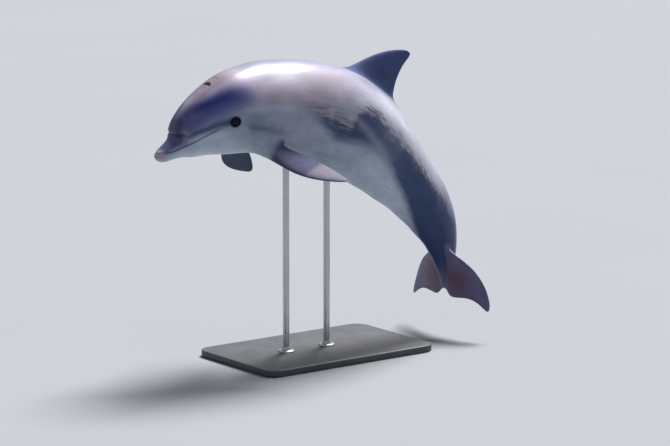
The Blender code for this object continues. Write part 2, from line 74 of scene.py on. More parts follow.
# Half thickness of a streamlined section at a share of its chord, where the thickest place is 1: the share's
# powers and their factors.
SECTION = ((0.5, 2.969), (1, -1.26), (2, -3.516), (3, 2.843), (4, -1.036))
RELAX_STEP = 0.6  # how far a point goes towards its neighbours' level in one round
RELAX_FRESH = 10  # rounds between one look at the normals and the next


class Side(Enum):
    """A side of the animal, and which way it lies along Y."""

    LEFT = -1
    RIGHT = 1


class Region(Enum):
    """What each face of the skin belongs to."""

    BODY = 0
    DORSAL = 1
    FLIPPER_LEFT = 2
    FLIPPER_RIGHT = 3
    FLUKE_LEFT = 4
    FLUKE_RIGHT = 5

    @classmethod
    def of(cls, fin: str, side: Side) -> "Region":
        """The flipper or the fluke of one side."""
        return cls[f"{fin}_{side.name}"]


# -------------------- shader graphs

Socket = bpy.types.NodeSocket
Colour = tuple[float, float, float]


@dataclass
class Graph:
    """A small builder for one node tree, of a material or of a group."""

    tree: bpy.types.NodeTree
    count: int = 0

    def node(self, kind: str, **settings: object) -> bpy.types.Node:
        """Adds a node, laid out in rows of ten, and gives it its settings.

        Args:
            kind: the node's type.
            settings: the node's own properties, by name.

        Returns:
            The node.
        """
        node = self.tree.nodes.new(kind)
        node.location = (230 * (self.count % 10), -330 * (self.count // 10))
        self.count += 1
        for name, value in settings.items():
            setattr(node, name, value)
        return node

    def feed(self, socket: Socket, value: object) -> None:
        """Links a socket to another or to a mask on the mesh, given by its name, or sets it to a value.

        Args:
            socket: the input to feed.
            value: a socket, a mask's name, a colour or a number.
        """
        value = self.attribute(value) if isinstance(value, str) else value
        if isinstance(value, bpy.types.NodeSocket):
            self.tree.links.new(value, socket)
        elif isinstance(value, tuple) and len(value) == 3 and socket.type == "RGBA":
            socket.default_value = (*value, 1)
        else:
            socket.default_value = value

    def fed(self, node: bpy.types.Node, values: dict[str | int, object]) -> bpy.types.Node:
        """Feeds a node's inputs, by their names or their numbers, and hands the node back.

        Args:
            node: the node to feed.
            values: what each input takes.

        Returns:
            The same node.
        """
        for name, value in values.items():
            self.feed(node.inputs[name], value)
        return node

    def math(self, operation: str, *values: object) -> Socket:
        """A Math node of some values, each a socket or a number."""
        return self.fed(self.node("ShaderNodeMath", operation=operation), dict(enumerate(values))).outputs[0]

    def times(self, first: object, second: object) -> Socket:
        """The product of two values."""
        return self.math("MULTIPLY", first, second)

    def plus(self, first: object, second: object) -> Socket:
        """The sum of two values."""
        return self.math("ADD", first, second)

    def scaled(self, value: object, scale: object, base: object) -> Socket:
        """A value times a scale, added to a base."""
        return self.math("MULTIPLY_ADD", value, scale, base)

    def step(self, value: Socket | str, low: float, high: float, to: tuple[float, float] = (0, 1)) -> Socket:
        """A smooth step of a value between two levels, as a Map Range node.

        Args:
            value: the value to read.
            low: the level where the step starts.
            high: the level where it ends, which may be the lower one.
            to: what it gives at the two levels.

        Returns:
            The step's result.
        """
        node = self.node("ShaderNodeMapRange", interpolation_type="SMOOTHSTEP")
        values = {"Value": value, "From Min": low, "From Max": high, "To Min": to[0], "To Max": to[1]}
        return self.fed(node, values).outputs["Result"]

    def mix(self, factor: object, first: object, second: object, blend: str = "MIX") -> Socket:
        """A colour mixed from two, each a socket or a colour."""
        node = self.node("ShaderNodeMix", data_type="RGBA", blend_type=blend, clamp_factor=True)
        return self.fed(node, {"Factor": factor, 6: first, 7: second}).outputs[2]

    def laid(self, mask: Socket | str, share: object, colour: object, under: object) -> Socket:
        """A colour laid over another where a mask is high."""
        return self.mix(self.times(mask, share), under, colour)

    def attribute(self, name: str) -> Socket:
        """A mask kept on the mesh."""
        return self.node("ShaderNodeAttribute", attribute_name=name).outputs["Fac"]

    def noise(self, vector: Socket, scale: object, detail: float = 3, rough: float = 0.55, bend: float = 0) -> Socket:
        """A noise texture's value over a vector."""
        values = {"Vector": vector, "Scale": scale, "Detail": detail, "Roughness": rough, "Distortion": bend}
        return self.fed(self.node("ShaderNodeTexNoise"), values).outputs["Fac"]

    def group(self, tree: bpy.types.NodeTree, **values: object) -> bpy.types.Node:
        """Places a node group with its own values, whose names have underscores for spaces."""
        values = {name.replace("_", " ").capitalize(): value for name, value in values.items()}
        return self.fed(self.node("ShaderNodeGroup", node_tree=tree), values)

    def grain(self, place: Socket, coarse: float, fine: float, share: float) -> tuple[Socket, Socket]:
        """Fine grain over a place, from its scales and the fine one's share: its value and its height."""
        node = self.group(grain_group(), place=place, coarse_scale=coarse, fine_scale=fine, fine_share=share)
        return node.outputs["Value"], node.outputs["Height"]

    def bump(self, height: Socket, distance: float, strength: float) -> Socket:
        """A Bump node's normal."""
        values = {"Strength": strength, "Distance": distance, "Height": height}
        return self.fed(self.node("ShaderNodeBump"), values).outputs["Normal"]

    def object_place(self) -> Socket:
        """The place of a point in its object's own axes."""
        return self.node("ShaderNodeTexCoord").outputs["Object"]


class Kind(Enum):
    """What a socket of a node group carries."""

    VALUE = "NodeSocketFloat"
    COLOUR = "NodeSocketColor"
    VECTOR = "NodeSocketVector"


def new_group(
    name: str, inputs: dict[str, tuple[Kind, object]], outputs: dict[str, Kind]
) -> tuple[Graph, dict[str, Socket], dict[str, Socket]]:
    """A new shader node group with named sockets.

    Args:
        name: the group's name.
        inputs: each input's kind and the value that it starts with.
        outputs: each output's kind.

    Returns:
        The group's graph, its inputs as sockets to read, and its outputs as sockets to feed.
    """
    tree = bpy.data.node_groups.new(name, "ShaderNodeTree")
    for title, (kind, value) in inputs.items():
        socket = tree.interface.new_socket(title, in_out="INPUT", socket_type=kind.value)
        if value is not None:
            socket.default_value = (*value, 1) if kind is Kind.COLOUR else value
    for title, kind in outputs.items():
        tree.interface.new_socket(title, in_out="OUTPUT", socket_type=kind.value)
    graph = Graph(tree)
    entry, out = graph.node("NodeGroupInput"), graph.node("NodeGroupOutput")
    return graph, {title: entry.outputs[title] for title in inputs}, {title: out.inputs[title] for title in outputs}


def grain_group() -> bpy.types.NodeTree:
    """Fine grain for any finish: one value for colour and roughness, and one height for a Bump node.

    Returns:
        The node group, made once.
    """
    tree = bpy.data.node_groups.get("fine_grain")
    if tree:
        return tree
    graph, read, feed = new_group(
        "fine_grain",
        {
            "Place": (Kind.VECTOR, None), "Coarse scale": (Kind.VALUE, 20.0), "Fine scale": (Kind.VALUE, 300.0),
            "Fine share": (Kind.VALUE, 0.5),
        },
        {"Value": Kind.VALUE, "Height": Kind.VALUE},
    )
    coarse = graph.noise(read["Place"], read["Coarse scale"], 4, 0.6)
    fine = graph.noise(read["Place"], read["Fine scale"], 2, 0.5)
    both = graph.node("ShaderNodeMix", data_type="FLOAT")
    graph.fed(both, {0: read["Fine share"], 2: coarse, 3: fine})
    graph.feed(feed["Value"], both.outputs[0])
    graph.feed(feed["Height"], graph.scaled(fine, 0.6, graph.times(coarse, 0.4)))
    return graph.tree


def streak_group() -> bpy.types.NodeTree:
    """Long streaks that follow one axis: the lie of the skin, or the brushing of steel.

    Returns:
        The node group, made once.
    """
    tree = bpy.data.node_groups.get("long_streaks")
    if tree:
        return tree
    graph, read, feed = new_group(
        "long_streaks",
        {"Place": (Kind.VECTOR, None), "Stretch": (Kind.VECTOR, (6.0, 60.0, 60.0)), "Bend": (Kind.VALUE, 0.4)},
        {"Value": Kind.VALUE},
    )
    stretched = graph.node("ShaderNodeVectorMath", operation="MULTIPLY")
    graph.fed(stretched, {0: read["Place"], 1: read["Stretch"]})
    graph.feed(feed["Value"], graph.noise(stretched.outputs[0], 1.0, 4, 0.6, read["Bend"]))
    return graph.tree


@dataclass(frozen=True)
class Finish:
    """What every finish shares: a Principled material with a name, fed by `values`."""

    name: str = "finish"

    def material(self) -> bpy.types.Material:
        """Builds the material.

        Returns:
            The material, with its shader fed.
        """
        material = bpy.data.materials.new(self.name)
        material.use_nodes = True
        graph = Graph(material.node_tree)
        graph.fed(material.node_tree.nodes["Principled BSDF"], self.values(graph))
        return material

    def values(self, graph: Graph) -> dict[str, object]:
        """What the shader's own sockets take, by name: numbers, or sockets of the graph."""
        raise NotImplementedError(self.name)


@dataclass(frozen=True)
class TintedFinish(Finish):
    """A finish of one colour, in paler and darker tones."""

    colour: Colour = (0.5, 0.5, 0.5)

    def tones(self, graph: Graph, factor: Socket, dark: float, pale: float) -> Socket:
        """The colour between two shares of it."""
        return graph.mix(factor, *(tuple(share * c for c in self.colour) for share in (dark, pale)))


Layer = tuple[str, float, Colour]


@dataclass(frozen=True)
class SkinFinish(Finish):
    """Smooth wet skin with the species' pattern, and painted highlights and painted shade laid into its colour.
    Colours are linear.

    Each layer is (mask, strength, colour), and they are laid one over the other in order.
    """

    name: str = "dolphin_skin"
    cape: Colour = (0.315, 0.270, 0.330)
    cape_rear: Colour = (0.315, 0.312, 0.382)
    back_layers: tuple[Layer, ...] = (
        # painted shade: the crest of the back darker and bluer, where the key light falls strongest
        ("ridge", 0.8, (0.170, 0.190, 0.275)),
        # painted highlight: a pale sheen on the near flank, where the key light catches the wet back
        ("sheen", 0.9, (0.540, 0.535, 0.630)),
    )
    flank: Colour = (0.265, 0.290, 0.375)
    # the darker grey of the underside where the pale belly is held back over the chest: painted shade
    belly: Colour = (0.225, 0.285, 0.350)
    pale_belly: Colour = (0.44, 0.50, 0.60)
    # the dark band of the flank: partly the real edge of the cape, partly painted shade where the flank turns down
    band: Colour = (0.010, 0.033, 0.112)
    band_top: Colour = (0.075, 0.048, 0.056)
    band_share: float = 0.95
    head_layers: tuple[Layer, ...] = (
        ("stock", 0.88, (0.018, 0.036, 0.108)),
        ("temple", 0.85, (0.100, 0.120, 0.325)),
        ("crown", 0.8, (0.160, 0.125, 0.165)),
        ("beak", 0.95, (0.042, 0.050, 0.135)),
    )
    # painted shade: the dark blue of the melon's sides, which lie past where the key light reaches
    melon: Colour = (0.007, 0.014, 0.100)
    face_layers: tuple[Layer, ...] = (
        # the eye stripe, with painted shade behind the eye and the head laid into the same mask
        ("stripe", 0.95, (0.022, 0.048, 0.120)),
        ("pale", 0.7, (0.42, 0.47, 0.56)),
        ("pink", 0.8, (0.34, 0.275, 0.320)),
        ("dorsal", 1.0, (0.048, 0.066, 0.160)),
    )
    fluke: Colour = (0.132, 0.120, 0.220)
    fluke_root: Colour = (0.110, 0.058, 0.095)
    fluke_share: float = 0.95
    fin_layers: tuple[Layer, ...] = (
        # the flukes' upper faces: partly their real darker colour, partly painted shade that tones down the face the
        # key light falls on
        ("fluke_top", 0.9, (0.052, 0.052, 0.088)),
        ("flipper", 0.95, (0.055, 0.058, 0.118)),
        ("flipper_under", 0.95, (0.060, 0.078, 0.130)),
        # painted highlight: the pale outer part of each flipper's upper face, where the key light falls
        ("flipper_tip", 0.9, (0.178, 0.160, 0.212)),
        ("fin_edge", 0.85, (0.020, 0.020, 0.050)),
    )
    far_shade: Colour = (0.74, 0.76, 0.80)
    dark_layers: tuple[Layer, ...] = (
        # painted shade in the mouth's line, the crease above the beak and the blowhole
        ("groove", 0.85, (0.006, 0.008, 0.014)),
        ("rim", 1.0, (0.002, 0.003, 0.012)),
    )
    streak_wander: float = 2.6  # how far the streaks move the pattern's edges, in tens of degrees
    mottle_wander: float = 1.4
    hair: float = 3.6  # how far the fine streaks move the band's upper edge
    coat: float = 0.16
    dry_and_wet: tuple[float, float] = (0.82, 0.32)  # the roughness where the skin is dry, and where it is wet
    fine_stretch: Triple = (17.0, 170.0, 170.0)
    grain: Triple = (14.0, 420.0, 0.12)
    relief: tuple[float, float] = (0.0006, 0.4)

    @staticmethod
    def lay_all(graph: Graph, layers: Iterable[Layer], colour: Socket) -> Socket:
        """Lays layers over a colour, in order.

        Args:
            graph: the pattern's graph.
            layers: the layers, the lowest first.
            colour: what lies under them.

        Returns:
            The colour on top.
        """
        for mask, share, over in layers:
            colour = graph.laid(mask, share, over, colour)
        return colour

    def band_colour(self, graph: Graph, under: Socket, wander: Socket, fine: Socket) -> Socket:
        """Lays the dark band of the flank over a colour: partly the real dark edge of the cape, partly painted shade
        where the flank turns down.

        Args:
            graph: the pattern's graph.
            under: the colour below the band.
            wander: how far the pattern's edges are moved.
            fine: the fine streaks, which fray the band's upper edge.

        Returns:
            The colour with the band on it.
        """
        top = graph.attribute("band_top")
        length = graph.step("rear", 0.0, 0.6, (0.35, 1.0))
        fringe = graph.plus(wander, graph.times(graph.scaled(fine, self.hair, -self.hair / 2), length))
        lower = graph.step(graph.scaled(wander, 0.5, "band"), -0.8, 0.9)
        upper = graph.step(graph.plus(top, fringe), 0.85, -0.80)
        share = graph.times(graph.times(upper, lower), "band_strength")
        navy = graph.mix(graph.step(graph.scaled(fringe, 0.6, top), -1.5, 0.4), self.band, self.band_top)
        return graph.laid(share, self.band_share, navy, under)

    def markings(self) -> bpy.types.NodeTree:
        """The pattern's colour, with its painted highlights and painted shade, from the masks on the mesh, with soft
        streaked edges.

        Returns:
            The node group.
        """
        graph, read, feed = new_group(
            "dolphin_markings",
            {"Streaks": (Kind.VALUE, 0.5), "Fine streaks": (Kind.VALUE, 0.5), "Mottle": (Kind.VALUE, 0.5)},
            {"Colour": Kind.COLOUR, "Wetness": Kind.VALUE},
        )
        streak, fine, mottle = read["Streaks"], read["Fine streaks"], read["Mottle"]
        wander = graph.plus(
            graph.scaled(streak, self.streak_wander, -self.streak_wander / 2),
            graph.scaled(mottle, self.mottle_wander, -self.mottle_wander / 2),
        )
        back = graph.mix("rear", self.cape, self.cape_rear)
        back = self.lay_all(graph, self.back_layers, back)
        above = graph.plus("cape", graph.times(wander, 0.8))
        colour = graph.mix(graph.step(above, -1.6, 1.5), self.flank, back)
        under = graph.mix("belly_strength", self.belly, self.pale_belly)
        below = graph.scaled(wander, 0.6, "belly")
        colour = graph.mix(graph.step(below, -1.6, 2.4), colour, under)
        colour = self.band_colour(graph, colour, wander, fine)
        colour = self.lay_all(graph, self.head_layers, colour)
        smoky = graph.step(graph.scaled(fine, 0.5, mottle), 0.35, 0.75, (0.80, 1.0))
        # painted shade on the melon's sides, broken by the streaks and the mottle
        colour = graph.laid("melon", smoky, self.melon, colour)
        colour = self.lay_all(graph, self.face_layers, colour)
        tail = graph.mix("fluke_inner", self.fluke, self.fluke_root)
        colour = graph.laid("fluke", self.fluke_share, tail, colour)
        colour = self.lay_all(graph, self.fin_layers, colour)
        tone = graph.scaled(mottle, 0.62, graph.scaled(streak, 0.30, 0.54))
        tone = graph.times(tone, graph.scaled(fine, 0.20, 0.90))
        grey = graph.fed(graph.node("ShaderNodeCombineColor"), dict.fromkeys(range(3), tone))
        colour = graph.mix(1.0, colour, grey.outputs[0], "MULTIPLY")
        shaded = graph.mix(1.0, colour, self.far_shade, "MULTIPLY")
        colour = graph.mix("far", colour, shaded)
        graph.feed(feed["Colour"], self.lay_all(graph, self.dark_layers, colour))
        wet = graph.step(mottle, 0.2, 0.8, (0.55, 1.0))
        graph.feed(feed["Wetness"], graph.times(wet, graph.math("SUBTRACT", 1.0, "matt")))
        return graph.tree

    def values(self, graph: Graph) -> dict[str, object]:
        """What the skin's shader takes.

        Args:
            graph: the material's graph.

        Returns:
            The values by the names of the shader's sockets.
        """
        place = graph.node("ShaderNodeAttribute", attribute_name="straight").outputs["Vector"]
        streaks = graph.group(streak_group(), place=place).outputs["Value"]
        fine = graph.group(streak_group(), place=place, stretch=self.fine_stretch, bend=0.2).outputs["Value"]
        mottle, height = graph.grain(place, *self.grain)
        marks = graph.group(self.markings(), streaks=streaks, fine_streaks=fine, mottle=mottle)
        wetness = marks.outputs["Wetness"]
        return {
            "Base Color": marks.outputs["Colour"],
            "Roughness": graph.step(wetness, 0.0, 0.9, self.dry_and_wet),
            "Coat Weight": graph.times(wetness, self.coat),
            "Normal": graph.bump(graph.scaled(fine, 0.35, height), *self.relief),
            "Coat Roughness": 0.2,
            "Coat IOR": 1.33,
            "IOR": 1.29,
        }


@dataclass(frozen=True)
class EyeFinish(Finish):
    """A dark eye: a brown ring, a wide sunken pupil and a dark white, under a wet cornea."""

    name: str = "dolphin_eye"
    iris: Colour = (0.007, 0.004, 0.004)
    pupil: Colour = (0.0005, 0.0005, 0.001)
    white: Colour = (0.002, 0.002, 0.005)

    def values(self, graph: Graph) -> dict[str, object]:
        """What the eye's shader takes, from the eye's own axes, kept on the mesh as `gaze`.

        Args:
            graph: the material's graph.

        Returns:
            The values by the names of the shader's sockets.
        """
        gaze = graph.node("ShaderNodeAttribute", attribute_name="gaze").outputs["Vector"]
        axes = graph.fed(graph.node("ShaderNodeSeparateXYZ"), {0: gaze})
        u, v = axes.outputs["X"], axes.outputs["Y"]
        square = graph.times(u, u)
        ring = graph.math("SQRT", graph.scaled(v, v, square))
        sag = graph.math("SUBTRACT", v, graph.times(square, 0.5))
        slot = graph.math("SQRT", graph.scaled(sag, sag, graph.times(square, 0.5)))
        grain, _ = graph.grain(gaze, 5.0, 26.0, 0.6)
        iris = graph.mix(graph.step(grain, 0.3, 0.75), self.white, self.iris)
        colour = graph.mix(graph.step(ring, 0.50, 0.60), iris, self.white)
        return {
            "Base Color": graph.mix(graph.step(slot, 0.34, 0.28), colour, self.pupil),
            "Roughness": graph.step(ring, 0.5, 0.8, (0.10, 0.25)),
            "Coat Weight": 0.4,
            "Coat Roughness": 0.03,
            "Coat IOR": 1.25,
            "IOR": 1.2,
        }


@dataclass(frozen=True)
class PaintFinish(TintedFinish):
    """Satin powder paint on steel: a fine orange peel, and edges rubbed a little paler."""

    name: str = "charcoal_paint"
    colour: Colour = (0.036, 0.038, 0.043)
    worn: Colour = (0.085, 0.088, 0.095)

    def values(self, graph: Graph) -> dict[str, object]:
        """What the paint's shader takes.

        Args:
            graph: the material's graph.

        Returns:
            The values by the names of the shader's sockets.
        """
        grain, height = graph.grain(graph.object_place(), 9.0, 650.0, 0.25)
        rubbed = graph.times("edge", graph.step(grain, 0.35, 0.65))
        tone = self.tones(graph, graph.step(grain, 0.2, 0.8), 1.0, 1.35)
        return {
            "Base Color": graph.laid(rubbed, 0.6, self.worn, tone),
            "Roughness": graph.step(grain, 0.2, 0.8, (0.40, 0.52)),
            "Normal": graph.bump(height, 0.0004, 0.35),
        }


@dataclass(frozen=True)
class SteelFinish(TintedFinish):
    """Brushed steel, with the brushing along or round the piece."""

    name: str = "brushed_steel"
    colour: Colour = (0.56, 0.56, 0.58)
    stretch: Triple = (900.0, 900.0, 14.0)

    def values(self, graph: Graph) -> dict[str, object]:
        """What the steel's shader takes.

        Args:
            graph: the material's graph.

        Returns:
            The values by the names of the shader's sockets.
        """
        place = graph.object_place()
        brushed = graph.group(streak_group(), place=place, stretch=self.stretch, bend=0.0).outputs["Value"]
        grain, _ = graph.grain(place, 18.0, 500.0, 0.3)
        shade = graph.scaled(brushed, 0.5, graph.times(grain, 0.5))
        return {
            "Base Color": self.tones(graph, graph.step(shade, 0.3, 0.7), 0.78, 1.0),
            "Roughness": graph.step(brushed, 0.25, 0.75, (0.24, 0.42)),
            "Normal": graph.bump(brushed, 0.0002, 0.3),
            "Metallic": 1.0,
        }


@dataclass(frozen=True)
class RubberFinish(TintedFinish):
    """Matt black rubber."""

    name: str = "black_rubber"
    colour: Colour = (0.018, 0.018, 0.019)

    def values(self, graph: Graph) -> dict[str, object]:
        """What the rubber's shader takes.

        Args:
            graph: the material's graph.

        Returns:
            The values by the names of the shader's sockets.
        """
        grain, height = graph.grain(graph.object_place(), 40.0, 900.0, 0.5)
        return {
            "Base Color": self.tones(graph, grain, 1.0, 1.7),
            "Roughness": graph.step(grain, 0.2, 0.8, (0.62, 0.8)),
            "Normal": graph.bump(height, 0.0003, 0.4),
        }


@dataclass(frozen=True)
class FloorFinish(TintedFinish):
    """A plain pale matt studio floor."""

    name: str = "pale_floor"
    colour: Colour = (0.215, 0.225, 0.240)

    def values(self, graph: Graph) -> dict[str, object]:
        """What the floor's shader takes.

        Args:
            graph: the material's graph.

        Returns:
            The values by the names of the shader's sockets.
        """
        grain, _ = graph.grain(graph.object_place(), 0.6, 60.0, 0.2)
        return {
            "Base Color": self.tones(graph, grain, 0.97, 1.03),
            "Roughness": 0.9,
            "Specular IOR Level": 0.15,
        }


# -------------------- curves


def smooth_curve(knots: Iterable[tuple[float, float]], at: Array | float) -> Array:
    """Values of the smooth curve through the knots, which never overshoots them.

    Args:
        knots: pairs of place and value, in any order.
        at: the places to read, held to the ends of the curve.

    Returns:
        The value at each place.
    """
    x, y = (np.array(column, float) for column in zip(*sorted(knots), strict=True))
    step = np.diff(x)
    slope = np.diff(y) / step
    before, after = 2 * step[1:] + step[:-1], step[1:] + 2 * step[:-1]
    turning = slope[:-1] * slope[1:] <= 0
    safe = np.where(turning, 1.0, slope[:-1]), np.where(turning, 1.0, slope[1:])
    inner = (before + after) / (before / safe[0] + after / safe[1])
    tangent = np.concatenate([[slope[0]], np.where(turning, 0.0, inner), [slope[-1]]])
    at = np.clip(np.asarray(at, float), x[0], x[-1])
    i = np.clip(np.searchsorted(x, at) - 1, 0, len(x) - 2)
    t = (at - x[i]) / step[i]
    return (
        y[i] * (1 + 2 * t) * (1 - t) ** 2
        + tangent[i] * step[i] * t * (1 - t) ** 2
        + y[i + 1] * t * t * (3 - 2 * t)
        - tangent[i + 1] * step[i] * t * t * (1 - t)
    )


def along_table(table: Table, at: Array | float) -> Array:
    """Values of a table at the places `at`."""
    return smooth_curve(table.items(), at)


def ease(low: float, high: float, value: Array) -> Array:
    """A smooth step from 0 at `low` to 1 at `high`, which may lie below `low`."""
    t = np.clip((value - low) / (high - low), 0, 1)
    return t * t * (3 - 2 * t)


def bump(distance: Array, width: Array | float) -> Array:
    """A round bump of height 1 over a distance, down to a third of it at `width`."""
    return np.exp(-((distance / width) ** 2))


def roll(place: Array, shape: Roll) -> Array:
    """A round swelling: its height, its middle and its width, read at a place."""
    return shape[0] * bump(place - shape[1], shape[2])


def window(rise: Span, fall: Span, value: Array) -> Array:
    """A smooth window: up from 0 to 1 over one stretch of a value, and down again over another."""
    return ease(*rise, value) * (1 - ease(*fall, value))


# -------------------- the plan of the animal


@dataclass(frozen=True)
class BodyPlan:
    """The straight body's sections, as shares of its length.

    Each section is (along, height of the back, depth of the belly, half width, roundness of the upper half,
    roundness of the lower half): a roundness of 2 is an ellipse, less is keeled and more is square.
    """

    length: float = 2.10
    sections: dict[str, tuple[float, ...]] = field(default_factory=lambda: {
        "beak_tip": (0.000, 0.0065, 0.0088, 0.0098, 2.0, 2.0),
        "beak_end": (0.006, 0.0100, 0.0134, 0.0158, 2.2, 2.2),
        "beak_middle": (0.028, 0.0145, 0.0181, 0.0218, 2.3, 2.3),
        "beak_root": (0.050, 0.0187, 0.0248, 0.0298, 2.3, 2.2),
        "melon_foot": (0.057, 0.0298, 0.0281, 0.0339, 2.2, 2.2),
        "melon_front": (0.069, 0.0494, 0.0344, 0.0420, 2.1, 2.2),
        "melon_top": (0.105, 0.0675, 0.0461, 0.0559, 2.1, 2.2),
        "eye": (0.155, 0.0848, 0.0655, 0.0697, 2.1, 2.2),
        "nape": (0.200, 0.0946, 0.0763, 0.0769, 2.1, 2.1),
        "shoulder": (0.260, 0.0990, 0.0855, 0.0830, 2.1, 2.1),
        "chest": (0.340, 0.1010, 0.0965, 0.0870, 2.1, 2.1),
        "fin_front": (0.440, 0.1060, 0.1020, 0.0860, 2.0, 2.1),
        "fin_back": (0.560, 0.1010, 0.0975, 0.0755, 1.9, 2.0),
        "vent": (0.690, 0.0715, 0.0755, 0.0545, 1.7, 1.8),
        "stock": (0.800, 0.0675, 0.0555, 0.0342, 1.6, 1.7),
        "stock_end": (0.890, 0.0450, 0.0310, 0.0201, 1.5, 1.6),
        "fluke_root": (0.940, 0.0180, 0.0150, 0.0150, 1.8, 1.8),
        "notch": (0.980, 0.0048, 0.0048, 0.0085, 2.0, 2.0),
    })

    def measure(self, index: int, along: Array | float) -> Array:
        """One column of the sections' table at places along the body, counted from the back's height."""
        return smooth_curve([(row[0], row[index + 1]) for row in self.sections.values()], along)

    def point(self, along: float, degrees: float, grow: float = 1.0) -> Vector:
        """A point of the straight body's skin.

        Args:
            along: share of the length, from the beak's tip.
            degrees: the turn from the crest of the back down the left side.
            grow: how much larger than the section it stands.

        Returns:
            The point in metres.
        """
        angle = math.radians(degrees)
        half = 0 if math.cos(angle) >= 0 else 1
        power = 2 / float(self.measure(3 + half, along))
        out = -float(self.measure(2, along)) * math.copysign(abs(math.sin(angle)) ** power, math.sin(angle))
        up = float(self.measure(half, along)) * math.copysign(abs(math.cos(angle)) ** power, math.cos(angle))
        return Vector((along, out * grow, up * grow)) * self.length

    def normal(self, along: float, degrees: float) -> Vector:
        """The way the straight body's skin faces at a place.

        Args:
            along: share of the length, from the beak's tip.
            degrees: the turn from the crest of the back.

        Returns:
            The way, outward, with the length 1.
        """
        here = self.point(along, degrees)
        turn = self.point(along, degrees + 1) - here
        back = self.point(along + 0.001, degrees) - here
        outward = back.cross(turn).normalized()
        return outward if outward.dot(here - Vector((here.x, 0, 0))) > 0 else -outward

    def turn_at(self, points: Array) -> tuple[Array, Array]:
        """Where points lie round the straight body.

        Args:
            points: N points of the straight body, in metres.

        Returns:
            The share of the length of each, and its degrees from the crest of the back, on either side.
        """
        along = np.clip(points[:, 0] / self.length, 0, 0.98)
        below = points[:, 2] < 0
        height = np.where(below, self.measure(1, along), self.measure(0, along)) * self.length
        power = np.where(below, self.measure(4, along), self.measure(3, along)) / 2
        up = (np.abs(points[:, 2]) / height) ** power
        out = (np.abs(points[:, 1]) / (self.measure(2, along) * self.length)) ** power
        degrees = np.degrees(np.arctan2(out, np.where(below, -up, up)))
        return points[:, 0] / self.length, degrees


@dataclass
class Spine:
    """The middle line of the body, and the map from the straight body onto it.

    dips gives how far the body dips below the level at each place along it, in degrees.
    """

    dips: Table
    length: float
    shift: Vector = field(default_factory=Vector)
    steps: int = 600

    def __post_init__(self) -> None:
        """Adds up the middle line from its headings."""
        self.places = np.linspace(-0.06, 1.06, self.steps)
        self.angles = np.radians(along_table(self.dips, self.places))
        step = (self.places[1] - self.places[0]) * self.length
        heading = np.stack([np.cos(self.angles), np.zeros(self.steps), -np.sin(self.angles)], 1)
        path = np.cumsum((heading[1:] + heading[:-1]) / 2 * step, 0)
        self.points = np.concatenate([np.zeros((1, 3)), path])

    def frame(self, along: float) -> tuple[Vector, Vector, Vector, Vector]:
        """(origin, tailward, rightward, upward) of the body at a share of its length.

        Args:
            along: share of the length, from the beak's tip.

        Returns:
            The origin in metres, and three ways of length 1.
        """
        dip = float(np.interp(along, self.places, self.angles))
        origin = Vector([float(np.interp(along, self.places, self.points[:, i])) for i in range(3)])
        tailward, upward = Vector((math.cos(dip), 0, -math.sin(dip))), Vector((math.sin(dip), 0, math.cos(dip)))
        return origin + self.shift, tailward, Vector((0, 1, 0)), upward

    def place(self, point: Vector) -> Vector:
        """The posed place of a point of the straight body."""
        origin, _, rightward, upward = self.frame(point.x / self.length)
        return origin + rightward * point.y + upward * point.z

    def matrix(self, along: float) -> Matrix:
        """The frame of a place along the body as a matrix: X tailward, Y rightward, Z upward."""
        return placed(*self.frame(along))


@dataclass(frozen=True)
class FinPlan:
    """A fin's outline and thickness: each table gives a share of the body's length at shares of the span."""

    span: float
    rings: tuple[float, ...]
    leading: Table
    trailing: Table
    thickness: Table

    def ring(self, length: float, share: float, cells: int, put: Put) -> list[Vector]:
        """One ring of the fin: leading edge, one face, trailing edge, other face.

        Args:
            length: the body's length.
            share: where along the span the ring lies.
            cells: how many faces lie across each side of the fin.
            put: places a point from its chord, its distance out of the fin's plane, and its span.

        Returns:
            The ring's points.
        """
        lead, trail = (float(along_table(t, share)) * length for t in (self.leading, self.trailing))
        half = float(along_table(self.thickness, share)) * length / 2
        span = self.span * length * share
        shares = [(1 - math.cos(math.pi * (j + 0.75) / (cells + 1.5))) / 2 for j in range(cells + 1)]
        chords = [(lead + (trail - lead) * u, half * sum(f * u**power for power, f in SECTION)) for u in shares]
        near = [put(chord, out, span) for chord, out in chords]
        far = [put(chord, -out, span) for chord, out in reversed(chords)]
        return [put(lead, 0, span), *near, put(trail, 0, span), *far]


def square(way: Vector, other: Vector) -> Vector:
    """A way made square to another, which has the length 1."""
    return (way - other * way.dot(other)).normalized()


def side_axes(tailward: Vector, outward: Vector) -> tuple[Vector, Vector]:
    """Two ways that lie in the skin of a side: tailward, and up.

    Args:
        tailward: a way that leads towards the tail.
        outward: the way the skin faces, with the length 1.

    Returns:
        Both ways, square to `outward`.
    """
    tailward = square(tailward, outward)
    up = tailward.cross(outward).normalized()
    return tailward, up if up.z >= 0 else -up


def placed(origin: Vector, *axes: Vector) -> Matrix:
    """The matrix of a frame, from its origin and its three axes."""
    return Matrix.Translation(origin) @ Matrix(axes).transposed().to_4x4()


def frame_matrix(origin: Vector, chord: Vector, reach: Vector) -> Matrix:
    """X along the chord, Z along the reach made square to it, Y square to both.

    Args:
        origin: the frame's origin.
        chord: the way of its X.
        reach: roughly the way of its Z.

    Returns:
        The frame as a matrix.
    """
    chord = chord.normalized()
    reach = square(reach, chord)
    return placed(origin, chord, reach.cross(chord), reach)


